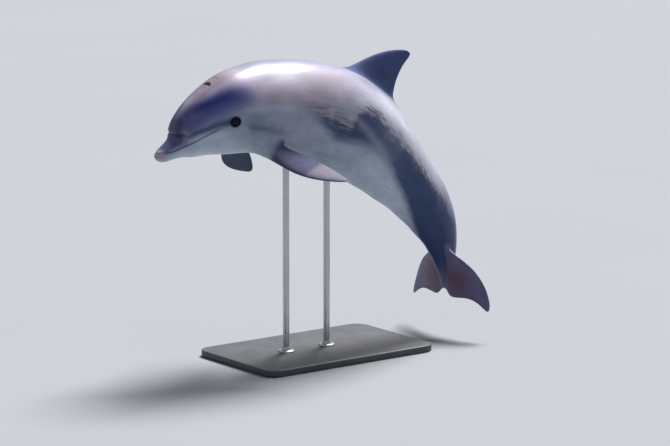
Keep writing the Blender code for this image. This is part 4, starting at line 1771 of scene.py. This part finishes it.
@dataclass
class Markings:
    """The skin's pattern, with painted highlights and painted shade, as smooth masks over the straight body.

    Each table gives degrees round the body, or a strength, at shares of its length.
    """

    cape_edge: Table = field(default_factory=lambda: {
        0.16: 66, 0.20: 72, 0.26: 78, 0.34: 82, 0.38: 82, 0.42: 80, 0.46: 72, 0.50: 70, 0.54: 74, 0.60: 71,
        0.66: 69, 0.70: 66, 0.74: 62, 0.78: 55, 0.82: 47, 0.88: 38,
    })
    # The dark band of the flank is partly the real edge of the cape and partly painted shade where the flank turns
    # down.
    band_top: Table = field(default_factory=lambda: {
        0.28: 82, 0.34: 85, 0.38: 89, 0.42: 93, 0.443: 91, 0.459: 73, 0.48: 66, 0.505: 66, 0.54: 74, 0.58: 73,
        0.62: 72, 0.66: 70, 0.70: 67, 0.74: 62, 0.78: 55, 0.82: 47, 0.88: 38,
    })
    band_edge: Table = field(default_factory=lambda: {
        0.30: 88, 0.34: 94, 0.36: 99, 0.38: 106, 0.42: 114, 0.46: 111, 0.50: 107, 0.56: 106, 0.60: 110, 0.64: 119,
        0.70: 131, 0.76: 146, 0.82: 165, 0.87: 195,
    })
    band_strength: Table = field(default_factory=lambda: {
        0.29: 0.0, 0.325: 0.6, 0.36: 0.95, 0.44: 1.0, 0.49: 0.95, 0.53: 0.82, 0.57: 0.78, 0.62: 0.95, 0.68: 1.0,
        1.0: 1.0,
    })
    belly_edge: Table = field(default_factory=lambda: {
        0.00: 92, 0.06: 96, 0.12: 100, 0.16: 112, 0.22: 128, 0.30: 134, 0.38: 124, 0.46: 110, 0.54: 108,
        0.62: 116, 0.70: 128, 0.78: 148, 0.84: 172, 0.90: 200,
    })
    # The dip over the chest, from 0.19 to 0.50 of the length, is painted shade under the chest between and behind the
    # flippers.
    belly_strength: Table = field(default_factory=lambda: {
        0.0: 0.9, 0.08: 1.0, 0.13: 0.75, 0.19: 0.35, 0.26: 0.1, 0.40: 0.1, 0.50: 0.35, 0.58: 0.8, 0.70: 0.9,
    })
    eye_stripe: Stripe = Stripe({0.05: 66, 0.09: 73, 0.13: 78, 0.163: 82}, 6.0, (0.052, 0.075), (0.158, 0.170))
    lip: Stripe = Stripe({0.05: 83, 0.09: 90, 0.13: 95, 0.163: 99}, 10.0, (0.055, 0.08), (0.12, 0.15))
    # Painted shade on the sides of the melon, past where the light reaches the head.
    melon: Stripe = Stripe(
        {0.06: 18, 0.085: 21, 0.10: 27, 0.12: 36, 0.14: 41, 0.16: 44, 0.18: 48, 0.20: 56},
        {0.06: 44, 0.09: 33, 0.11: 25, 0.14: 20, 0.17: 19, 0.20: 16}, (0.050, 0.057), (0.155, 0.230),
    )
    temple: Stripe = Stripe({0.0: 54, 1.0: 54}, 19.0, (0.060, 0.075), (0.175, 0.24))
    gap: Stripe = Stripe({0.44: 83, 0.46: 87, 0.48: 90, 0.52: 97, 0.58: 104}, 5.5, (0.438, 0.462), (0.55, 0.60))
    blaze: Stripe = Stripe({0.17: 74, 0.20: 77, 0.26: 83, 0.34: 89}, 4.5, (0.172, 0.19), (0.26, 0.37))
    flipper_stripe: Stripe = Stripe(
        {0.17: 92, 0.20: 101, 0.24: 110, 0.28: 116}, 5.0, (0.172, 0.19), (0.255, 0.285)
    )
    # Painted shade behind the eye and down the back of the head, added to the eye stripe's mask.
    ear: Patch = Patch(0.196, 92, 0.022, 15)
    neck: Patch = Patch(0.228, 108, 0.036, 22)
    # Painted shadow of the dorsal fin on the back below it, laid in with the crest's painted shade.
    fin_shadow: Patch = Patch(0.478, 22, 0.036, 14)
    # Painted highlights of the wet back on the near flank only, before and behind the dorsal fin.
    front_sheen: Patch = Patch(0.285, 47, 0.045, 13.5)
    rear_sheen: Patch = Patch(0.555, 47, 0.075, 13.5)
    crown: Cap = Cap((0.098, 0.132), (0.17, 0.215), (14, 30))
    # Painted shade over the crest of the back, where the key light falls strongest.
    ridge: Cap = Cap((0.19, 0.24), (0.60, 0.85), (4, 34))
    # The stretches along the body, or down its side, over which each of these comes in or fades.
    beak_end: Span = (0.052, 0.062)
    beak_sides: Span = (48, 74)
    beak_edge: Span = (78, 92)
    pink_tip: Span = (0.006, 0.020)
    stock_start: Span = (0.70, 0.90)
    rear_start: Span = (0.32, 0.50)
    far_start: Span = (0.10, 0.18)
    far_side: Span = (-0.020, 0.045)  # in metres to the right of the middle
    edge_scale: float = 10.0  # degrees to a unit of the masks that cross nought at an edge
    flipper_tip: Span = (0.545, 0.60)
    flipper_slant: float = 0.12  # how much further out the tip's border lies at one edge than at the other

    def masks(self, at: SkinPlaces, grooves: Array, rims: Array) -> dict[str, Array]:
        """Every mask that the skin's material reads.

        Args:
            at: where the skin's points lie.
            grooves: how much painted shade lies in the mouth's line, the crease and the blowhole, from 0 to 1.
            rims: how near the rim of an eye, from 0 to 1.

        Returns:
            The masks by name.
        """
        s, turn = at.along, at.turn
        # The eye stripe and the flipper stripe, with painted shade behind the eye and the head added to them.
        stripe = self.eye_stripe.mask(at) + 0.4 * self.ear.mask(at) + 0.35 * self.flipper_stripe.mask(at)
        beak = (1 - ease(*self.beak_end, s)) * (1 - 0.5 * ease(*self.beak_sides, turn))
        on_body = {
            "beak": beak * (1 - ease(*self.beak_edge, turn)),
            "melon": self.melon.mask(at) * (0.90 + 0.10 * ease(0.085, 0.125, s)),
            "crown": self.crown.mask(at),
            "temple": self.temple.mask(at),
            "stripe": np.clip(stripe + 0.22 * self.neck.mask(at), 0, 1),
            "pale": np.clip(self.lip.mask(at) + 0.5 * self.blaze.mask(at), 0, 1),
            "pink": (1 - ease(*self.pink_tip, s)) * (1 - 0.6 * ease(0.002, -0.018, at.z)),
            "ridge": np.maximum(self.ridge.mask(at), 0.8 * self.fin_shadow.mask(at)),
            # painted highlight, on the near side only
            "sheen": (0.75 * self.front_sheen.mask(at) + self.rear_sheen.mask(at)) * (at.y < 0),
            "far": ease(*self.far_side, at.y) * ease(*self.far_start, s),
        }
        masks = {
            "cape": (along_table(self.cape_edge, s) - turn) / self.edge_scale,
            "band": (along_table(self.band_edge, s) - turn) / self.edge_scale,
            "band_top": (along_table(self.band_top, s) - turn) / self.edge_scale,
            "band_strength": along_table(self.band_strength, s) * (1 - 0.5 * self.gap.mask(at)),
            "belly": (turn - along_table(self.belly_edge, s)) / self.edge_scale,
            "belly_strength": along_table(self.belly_strength, s),
            "stock": ease(*self.stock_start, s),
            "rear": ease(*self.rear_start, s),
            "groove": np.clip(grooves, 0, 1),
            "rim": rims,
            **{name: mask * at.body for name, mask in on_body.items()},
            **self.flipper_masks(at),
            **self.tail_masks(at),
        }
        masks["matt"] = np.clip(masks["flipper"] + masks["dorsal"] + rims, 0, 1)
        return masks

    def flipper_masks(self, at: SkinPlaces) -> dict[str, Array]:
        """The masks of the flippers: where they are, their undersides, the painted highlight on the outer part of
        their upper faces, and their dark edges.

        Args:
            at: where the skin's points lie.

        Returns:
            The masks by name.
        """
        plan, spine, length = at.anatomy, at.anatomy.spine(straight=True), at.length
        tip, edge, flipper, under = (np.zeros(len(at.x)) for _ in range(4))
        for side in Side:
            weight = at.weights[Region.of("FLIPPER", side)]
            frame = plan.flipper_matrix(spine, side)
            local = at.in_frame(frame)
            share = np.clip(local[:, 2] / (plan.flipper.span * length), 0, 1)
            lead, trail = (along_table(edge, share) * length for edge in (plan.flipper.leading, plan.flipper.trailing))
            chord = np.clip((-local[:, 0] - trail) / (lead - trail), 0, 1)
            below = ease(0.001, -0.001, local[:, 1] * np.sign(frame.col[1].z))
            slanted = share - self.flipper_slant * (0.5 - chord)
            flipper += weight * ease(-0.02, 0.10, share)
            under += weight * below * ease(0.04, 0.12, share)
            # Painted highlight on the outer part of the upper face.
            tip += weight * ease(*self.flipper_tip, slanted) * (1 - 0.4 * ease(0.55, 0.90, chord))
            edge += weight * ease(0.86, 0.99, chord) * ease(0.1, 0.3, share)
        return {"flipper": flipper, "flipper_under": under, "flipper_tip": tip * (1 - under), "fin_edge": edge}

    def tail_masks(self, at: SkinPlaces) -> dict[str, Array]:
        """The masks of the dorsal fin and of the flukes: their upper faces and their reddish inner parts too.

        Args:
            at: where the skin's points lie.

        Returns:
            The masks by name.
        """
        plan, s, out = at.anatomy, at.along, np.abs(at.y) / at.length
        above = at.z - plan.body.measure(0, np.clip(s, 0, 0.98)) * at.length
        flukes = sum(at.weights[Region.of("FLUKE", side)] for side in Side) * ease(0.004, 0.026, out)
        flukes = np.maximum(flukes, ease(0.905, 0.965, s) * (s < 1.1) * (out < 0.05))
        lift = plan.fluke_lift * at.length * (out / plan.fluke.span) ** 2
        return {
            "dorsal": at.weights[Region.DORSAL] * ease(-0.014, 0.008, above),
            "fluke": flukes,
            # Upper faces of the flukes: partly their real darker colour, partly painted shade on the face the key
            # light falls on.
            "fluke_top": flukes * ease(-0.002, 0.002, at.z - lift) * (1 - ease(1.1, 1.2, s)),
            "fluke_inner": window((0.002, 0.020), (0.045, 0.095), out) * bump(s - 0.957, 0.036),
        }


@dataclass
class Skin:
    """The animal's whole skin, from its mesh to its masks and its finish."""

    anatomy: Anatomy
    spine: Spine
    face: Face = field(default_factory=Face)
    underside: Underside = field(default_factory=Underside)
    form: BodyForm = field(default_factory=BodyForm)
    markings: Markings = field(default_factory=Markings)
    nodes: tuple[str, ...] = (
        "upper_jaw", "lower_jaw", "head", "neck", "chest", "trunk", "loin", "tail_stock", "dorsal_fin",
        "flipper_left", "flipper_right", "fluke_left", "fluke_right",
    )
    # How near the mouth, an eye and the blowhole each round of splitting the faces reaches.
    face_rounds: tuple[Triple, ...] = ((0.020, 0.070, 0.060), (0.009, 0.038, 0.040), (0.0, 0.024, 0.0))
    belly_rounds: tuple[float, ...] = (0.024, 0.012)
    # Where the tail stock runs into the flukes, along the body and out from its middle, and the beak's tip.
    tail_root: tuple[Span, Span] = ((0.862, 0.895), (0.030, 0.055))
    beak_tip: Span = (0.003, 0.014)

    def build(self) -> None:
        """Builds the skin and sculpts it, and stores its masks."""
        surface = SkinMesh(self.anatomy, self.spine)
        for reaches in self.face_rounds:
            surface.refine(self.face.near, *reaches)
        for reach in self.belly_rounds:
            surface.refine(self.underside.near, reach)
        mesh, places = surface.finish()
        at = SkinPlaces(self.anatomy, mesh, places)
        start, end = self.tail_root
        relax(mesh, ease(*start, at.along) * (1 - ease(*end, np.abs(at.y) / at.length)), 700, outer=0.02)
        relax(mesh, (1 - ease(*self.beak_tip, at.along)) * at.body, 8)
        mouth, mouth_dark = self.face.mouth(at)
        crease, crease_dark = self.face.crease(at)
        lids, rims, near_eye = self.face.lids(at)
        blowhole, hole_dark = self.face.blowhole(at)
        height = mouth + crease + lids + blowhole + self.underside.folds(at) + self.form.height(at) * (1 - near_eye)
        # Painted shade in the grooves: the mouth's line, the crease and the blowhole.
        grooves = np.maximum.reduce([mouth_dark, 0.7 * crease_dark, hole_dark])
        move_points(mesh, coordinates(mesh) + normals(mesh) * height[:, None])
        for name, values in self.markings.masks(at, grooves, rims).items():
            add_mask(mesh, name, values)
        mesh.materials.clear()
        mesh.shade_smooth()
        mesh.update()
        dress(new_object("skin", mesh), SkinFinish().material(), "skin", *self.nodes)


# -------------------- eyes


@dataclass
class Eyeball:
    """One eye: a ball with a bulging cornea, whose own axes are kept on the mesh for its finish."""

    anatomy: Anatomy
    spine: Spine
    side: Side
    segments: int = 64
    rings: int = 40
    cornea_reach: float = 0.62  # how far from the axis the cornea's bulge ends, as a share of the radius
    cornea_rise: float = 0.035

    def build(self) -> None:
        """Builds the eye in its socket."""
        name = f"eye_{self.side.name.lower()}"
        low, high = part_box(name)
        place = self.axes((low + high) / 2)
        work = bmesh.new()
        bmesh.ops.create_uvsphere(work, u_segments=self.segments, v_segments=self.rings, radius=1.0)
        gaze = work.verts.layers.float_vector.new("gaze")
        for vert in work.verts:
            vert[gaze] = vert.co
            off = math.hypot(vert.co.x, vert.co.y)
            if vert.co.z > 0 and off < self.cornea_reach:
                vert.co *= 1 + self.cornea_rise * (1 + math.cos(math.pi * off / self.cornea_reach)) / 2
            vert.co = place @ (vert.co * self.anatomy.eye_radius)
        dress(filled(f"{name}_ball", work), EyeFinish().material(), "eye", name)

    def axes(self, middle: Vector) -> Matrix:
        """The eye's own frame: X along the body, Y up its side, Z outward, at the middle of its CAD ball.

        Args:
            middle: the middle of the CAD ball.

        Returns:
            The frame as a matrix.
        """
        here, outward = self.anatomy.eye_skin(self.side)
        turn = self.spine.matrix(here.x / self.anatomy.body.length).to_3x3()
        outward = turn @ outward
        _, up = side_axes(turn @ Vector((1, 0, 0)), outward)
        return placed(middle, up.cross(outward), up, outward)


# -------------------- the stand


def turned(name: str, profile: Profile, place: Matrix, segments: int = 72, sharp: float = 35) -> bpy.types.Object:
    """A turned piece.

    Args:
        name: the piece's name.
        profile: (radius, height) down its outer side.
        place: where its axis stands.
        segments: how many faces lie round it.
        sharp: the turn in degrees above which an edge is kept sharp.

    Returns:
        The piece.
    """
    work = bmesh.new()
    line = [work.verts.new((radius, 0, height)) for radius, height in profile]
    edges = [work.edges.new(pair) for pair in zip(line, line[1:], strict=False)]
    bmesh.ops.spin(
        work, geom=[*line, *edges], axis=(0, 0, 1), cent=(0, 0, 0), angle=2 * math.pi, steps=segments,
        use_merge=True,
    )
    bmesh.ops.remove_doubles(work, verts=work.verts, dist=1e-6)
    bmesh.ops.recalc_face_normals(work, faces=work.faces)
    bmesh.ops.transform(work, matrix=place, verts=work.verts)
    return filled(name, work, sharp)


@dataclass
class Stand:
    """The display stand: a painted plate, two steel rods with bolted feet, and rubber collars at the belly."""

    spine: Spine
    anatomy: Anatomy
    # How far along the body each rod meets it.
    rods: dict[str, float] = field(default_factory=lambda: {"front": 0.345, "rear": 0.490})
    corner: tuple[float, int] = (0.060, 20)  # how far the plate's corners are rounded, and in how many steps
    edge: tuple[float, int] = (0.004, 4)
    plate_sharp: float = 50.0
    rod_chamfer: float = 0.001
    flange: Profile = (
        (0.0143, 0.0002), (0.0360, 0.0002), (0.0360, 0.0044), (0.0354, 0.00576), (0.0340, 0.0064),
        (0.0220, 0.0080), (0.0200, 0.0100), (0.0190, 0.0192), (0.0182, 0.0208), (0.0143, 0.0208), (0.0143, 0.0002),
    )
    # A button-headed screw with a socket, and where it stands: its distance from the rod and its height.
    screw: Profile = (
        (0.0, 0.0010), (0.001764, 0.0010), (0.001932, 0.0030), (0.002604, 0.0031), (0.003612, 0.0023),
        (0.0042, 0.0008), (0.0042, -0.0010), (0.0, -0.0010),
    )
    screw_place: tuple[float, float] = (0.0265, 0.0060)
    screws: int = 4
    screw_segments: int = 24
    collar: Profile = (
        (0.0145, -0.0186), (0.0165, -0.0198), (0.0180, -0.0174), (0.0188, -0.0120), (0.0225, -0.0030),
        (0.02385, 0.0030), (0.0234, 0.0135), (0.0145, 0.0150), (0.0145, -0.0186),
    )

    def build(self) -> None:
        """Builds every piece of the stand and dresses it."""
        rubber = RubberFinish().material()
        along = SteelFinish(name="brushed_steel_rod").material()
        around = SteelFinish(name="brushed_steel_flange", stretch=(60.0, 60.0, 900.0)).material()
        top = self.add_plate()
        for name, place in self.rods.items():
            node = f"stand_rod_{name}"
            low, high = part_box(node)
            axis = Vector(((low.x + high.x) / 2, (low.y + high.y) / 2, 0))
            rod = turned(f"stand_tube_{name}", self.rod(low, high), Matrix.Translation(axis))
            dress(rod, along, "stand_rod", node)
            dress(self.add_flange(name, axis + Vector((0, 0, top))), around, "stand_rod")
            dress(turned(f"stand_collar_{name}", self.collar, self.collar_place(axis, place)), rubber, "stand_rod")

    def add_plate(self) -> float:
        """Builds the base plate, with its corners and its edges rounded.

        Returns:
            The height of its top.
        """
        low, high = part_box("stand_base")
        work = bmesh.new()
        bmesh.ops.create_cube(work, size=1)
        bmesh.ops.scale(work, vec=high - low, verts=work.verts)
        for shared, (offset, steps) in (("xy", self.corner), ("z", self.edge)):
            edges = [e for e in work.edges if getattr(e.verts[0].co, shared) == getattr(e.verts[1].co, shared)]
            bmesh.ops.bevel(work, geom=edges, offset=offset, segments=steps, profile=0.5, affect="EDGES")
        bmesh.ops.translate(work, vec=(low + high) / 2, verts=work.verts)
        plate = filled("stand_plate", work, self.plate_sharp)
        inner = np.abs(coordinates(plate.data)[:, 2] - high.z) < self.edge[0]
        add_mask(plate.data, "edge", inner * (1 - ease(0.9, 1.0, np.abs(normals(plate.data)[:, 2]))))
        dress(plate, PaintFinish().material(), "stand_base", "stand_base")
        return high.z

    def rod(self, low: Vector, high: Vector) -> Profile:
        """The profile of a rod, from its socket in the plate up into the belly.

        Args:
            low: the lower corner of its box.
            high: the upper corner.

        Returns:
            The profile.
        """
        radius, inset = (high.x - low.x) / 2, self.rod_chamfer
        upper = [(0, high.z), (radius - inset, high.z), (radius, high.z - inset)]
        return [*upper, (radius, low.z + inset), (radius - inset, low.z), (0, low.z)]

    def add_flange(self, name: str, foot: Vector) -> bpy.types.Object:
        """Builds the round foot that bolts a rod to the plate, with its screws, as one piece.

        Args:
            name: the rod's name.
            foot: the middle of its underside.

        Returns:
            The piece.
        """
        piece = turned(f"stand_flange_{name}", self.flange, Matrix.Translation(foot))
        pieces = [piece]
        for k in range(self.screws):
            turn, (out, rise) = math.tau * (k + 0.5) / self.screws, self.screw_place
            spot = foot + Vector((math.cos(turn) * out, math.sin(turn) * out, rise))
            pieces.append(turned(f"screw_{name}_{k}", self.screw, Matrix.Translation(spot), self.screw_segments))
        with bpy.context.temp_override(active_object=piece, selected_editable_objects=pieces, object=piece):
            bpy.ops.object.join()
        return piece

    def collar_place(self, axis: Vector, along: float) -> Matrix:
        """Where a rod goes into the belly, as a frame that leans half way from the rod to the skin's slope.

        Args:
            axis: a point of the rod's axis.
            along: where the rod meets the body.

        Returns:
            The frame as a matrix.
        """
        upward, belly = self.spine.frame(along)[3], self.spine.place(self.anatomy.body.point(along, 180))
        lean = upward.lerp(Vector((0, 0, 1)), 0.5).normalized()
        across = Vector((0, 1, 0))
        return placed(Vector((axis.x, axis.y, belly.z)), across.cross(lean), across, lean)


# -------------------- the studio


@dataclass
class Studio:
    """The pale floor, the soft lights and the camera."""

    target: Vector = field(default_factory=lambda: Vector((0.0, 0.0, 0.72)))
    azimuth: float = -36.756
    elevation: float = 9.576
    distance: float = 12.0
    view_width: float = 2.903  # metres across the picture at the target
    shift: tuple[float, float] = (0.02746, -0.04597)
    sensor: float = 36.0
    floor_size: float = 160.0
    air_colour: Colour = (0.80, 0.88, 1.0)
    air_strength: float = 0.42
    backdrop: Colour = (0.60, 0.635, 0.68)  # what the camera sees beyond the floor
    sun_azimuth: float = 112.0
    sun_elevation: float = 58.0
    sun_distance: float = 6.0
    sun_angle: float = 24.0
    sun_strength: float = 9.0
    sun_colour: Colour = (1.0, 0.97, 0.96)

    def aimed(self, data: bpy.types.ID, azimuth: float, elevation: float, distance: float) -> bpy.types.Object:
        """A lamp or a camera, named as its data, that looks at the target from a way and a distance.

        Args:
            data: the lamp or the camera.
            azimuth: the turn about the upright, in degrees.
            elevation: the height above level, in degrees.
            distance: how far from the target, in metres.

        Returns:
            Its object.
        """
        a, e = math.radians(azimuth), math.radians(elevation)
        way = Vector((math.sin(a) * math.cos(e), -math.cos(a) * math.cos(e), math.sin(e)))
        made = new_object(data.name, data)
        made.location = self.target + way * distance
        made.rotation_euler = way.to_track_quat("Z", "Y").to_euler()
        return made

    def build(self) -> None:
        """Builds the floor, the lights and the camera."""
        self.floor()
        self.world()
        self.sun()
        self.camera()
        bpy.context.scene.view_settings.view_transform = "Standard"
        LOG.info("studio: floor, air, lamp and camera")

    def floor(self) -> None:
        """The floor, which isn't part of the object."""
        work = bmesh.new()
        bmesh.ops.create_grid(work, x_segments=8, y_segments=8, size=self.floor_size / 2)
        floor = filled("studio_floor", work)
        floor.data.materials.append(FloorFinish().material())
        floor.location.z = -0.0005  # just below the stand

    def world(self) -> None:
        """An even, faintly cool light from all round."""
        world = bpy.data.worlds.new("studio_air")
        world.use_nodes = True
        graph = Graph(world.node_tree)
        air = world.node_tree.nodes["Background"]
        seen, both, ray = (
            graph.node(f"ShaderNode{kind}") for kind in ("Background", "MixShader", "LightPath")
        )
        for node, colour, strength in ((air, self.air_colour, self.air_strength), (seen, self.backdrop, 1.0)):
            graph.feed(node.inputs["Color"], colour)
            graph.feed(node.inputs["Strength"], strength)
        for socket, value in zip(
            both.inputs, (ray.outputs["Is Camera Ray"], air.outputs[0], seen.outputs[0]), strict=True
        ):
            graph.feed(socket, value)
        graph.feed(world.node_tree.nodes["World Output"].inputs["Surface"], both.outputs[0])
        bpy.context.scene.world = world

    def sun(self) -> None:
        """The key light, high behind the back and wide enough to be soft."""
        data = bpy.data.lights.new("key_light", "SUN")
        data.energy, data.angle, data.color = self.sun_strength, math.radians(self.sun_angle), self.sun_colour
        self.aimed(data, self.sun_azimuth, self.sun_elevation, self.sun_distance)

    def camera(self) -> None:
        """The camera, square to the viewing direction, with a small shift for the framing."""
        data = bpy.data.cameras.new("view")
        data.sensor_width = self.sensor
        data.lens = self.sensor * self.distance / self.view_width
        data.shift_x, data.shift_y = self.shift
        data.clip_end = 300
        bpy.context.scene.camera = self.aimed(data, self.azimuth, self.elevation, self.distance)


def main() -> None:
    logging.basicConfig(level=logging.INFO, format="%(name)s: %(message)s")
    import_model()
    anatomy = Anatomy()
    spine = anatomy.spine()
    low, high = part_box("eye_left")
    here, outward = anatomy.eye_skin(Side.LEFT)
    spine.shift = (low + high) / 2 - spine.place(here - outward * (anatomy.eye_radius * anatomy.eye_sunk))
    Studio().build()
    Skin(anatomy, spine).build()
    for side in Side:
        Eyeball(anatomy, spine, side).build()
    Stand(spine, anatomy).build()


if __name__ == "__main__":
    main()
